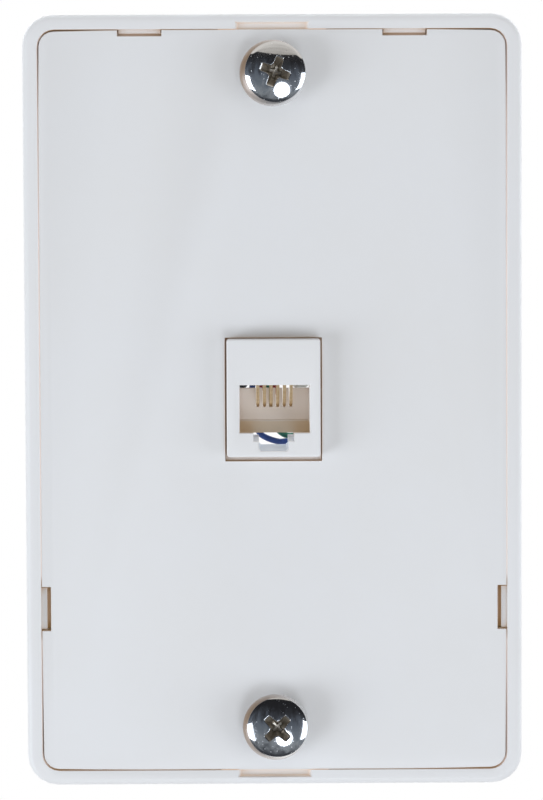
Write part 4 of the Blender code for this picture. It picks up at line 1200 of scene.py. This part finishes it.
def place_studio():
    """The dark room that the chrome mirrors, as part of a sphere in front: black above and hazy grey below,
    where the haze drifts in clouds and lies lower to the right."""
    azimuth, elevation = np.meshgrid(arc(-100, 100, 41), arc(-90, 90, 37), indexing="ij")
    points = studio_radius * np.stack([
        np.sin(azimuth) * np.cos(elevation),
        -np.cos(azimuth) * np.cos(elevation),
        np.sin(elevation),
    ], axis=-1)
    index = np.arange(points.shape[0] * points.shape[1]).reshape(points.shape[:2])
    quads = np.stack([index[:-1, :-1], index[1:, :-1], index[1:, 1:], index[:-1, 1:]], axis=-1)
    studio = mesh_piece("dark_studio", points.reshape(-1, 3), quads.reshape(-1, 4).tolist())
    material, tree, colour = glow_material("dark_studio_tone")
    place = object_place(tree)
    x, y, z = axes_of(tree, place)
    upright = put(tree, "Mapping", Vector=place, Scale=studio_stretch).outputs[0]
    cloud = noise(tree, upright, 1.0, 6.0, Roughness=0.7)
    rise = change(tree, z, -studio_radius, studio_radius)
    drift = change(tree, cloud, 0.3, 0.7, -studio_drift, studio_drift)
    side = change(tree, x, -studio_radius, studio_radius, studio_left, studio_right)
    level = maths(tree, "ADD", maths(tree, "ADD", rise, drift), side)
    feed(tree, colour, ramp(tree, level, studio_tones))
    studio.data.materials.append(material)
    only_reflected(studio)


def place_canopy():
    """A pale round shade above the part, streaked along X, that the upper stud mirrors as its cap."""
    angle = np.linspace(0, 2 * math.pi, canopy_sides, endpoint=False)
    x, y, z = canopy_centre
    points = np.stack([
        x + canopy_radius * np.cos(angle),
        y + canopy_radius * np.sin(angle),
        np.full(canopy_sides, z),
    ], axis=-1)
    canopy = mesh_piece("pale_canopy", points, [tuple(range(canopy_sides))])
    material, tree, colour = glow_material("pale_canopy_tone")
    place = object_place(tree)
    stretched = put(tree, "Mapping", Vector=place, Scale=canopy_stretch).outputs[0]
    streaks = noise(tree, stretched, 1.0, 4.0)
    depth = axes_of(tree, place)["Y"]
    fade = change(tree, depth, canopy_fade_start, canopy_fade_end, -canopy_fade, canopy_fade)
    feed(tree, colour, ramp(tree, maths(tree, "ADD", streaks, fade), canopy_tones))
    canopy.data.materials.append(material)
    only_reflected(canopy)


def place_floor():
    """A pale floor that fades into the white surroundings towards its edge."""
    corners = np.array([
        (-floor_half_width, floor_front, floor_height),
        (floor_half_width, floor_front, floor_height),
        (floor_half_width, floor_back, floor_height),
        (-floor_half_width, floor_back, floor_height),
    ])
    floor = mesh_piece("pale_floor", corners, [(0, 1, 2, 3)])
    material, tree, shader = new_material("pale_floor_finish", 0.0)
    place = object_place(tree)
    centred = put(tree, "Mapping", Vector=place, Location=floor_shift, Scale=floor_scale).outputs[0]
    reach = put(tree, "VectorMath", (centred,), {"operation": "LENGTH"}).outputs["Value"]
    fade = change(tree, reach, floor_fade_start, floor_fade_end, curve="SMOOTHSTEP")
    tone = change(tree, noise(tree, place, 25.0, 4.0), 0.3, 0.7, *floor_tones)
    feed_named(tree, shader, Base_Color=tone, Roughness=0.8)
    clear = put(tree, "BsdfTransparent").outputs[0]
    mix = put(tree, "MixShader", (fade, shader.outputs[0], clear)).outputs[0]
    feed_named(tree, tree.nodes["Material Output"], Surface=mix)
    floor.data.materials.append(material)
    unseen_by(floor, "diffuse", "glossy", "shadow")


def light_world():
    """White where the camera, a reflection or glass sees it, and a warm soft light for everything else."""
    world = bpy.data.worlds.new("plain_studio")
    world.use_nodes = True
    bpy.context.scene.world = world
    tree = world.node_tree
    tree.nodes.clear()
    ray = put(tree, "LightPath").outputs
    seen = maths(tree, "MAXIMUM", ray["Is Camera Ray"], ray["Is Glossy Ray"])
    seen = maths(tree, "MAXIMUM", seen, ray["Is Transmission Ray"])
    ambient = put(tree, "Background", Color=opaque(ambient_colour), Strength=ambient_level)
    white = put(tree, "Background", Color=(1, 1, 1, 1), Strength=1.0)
    mix = put(tree, "MixShader", (seen, ambient.outputs[0], white.outputs[0])).outputs[0]
    put(tree, "OutputWorld", Surface=mix)


place_camera()
dress_plastics()
dress_notches()
dress_studs()
dress_contacts()
dress_wiring()
place_lamps()
place_studio()
place_canopy()
place_floor()
light_world()
bpy.context.scene.view_settings.view_transform = "Standard"
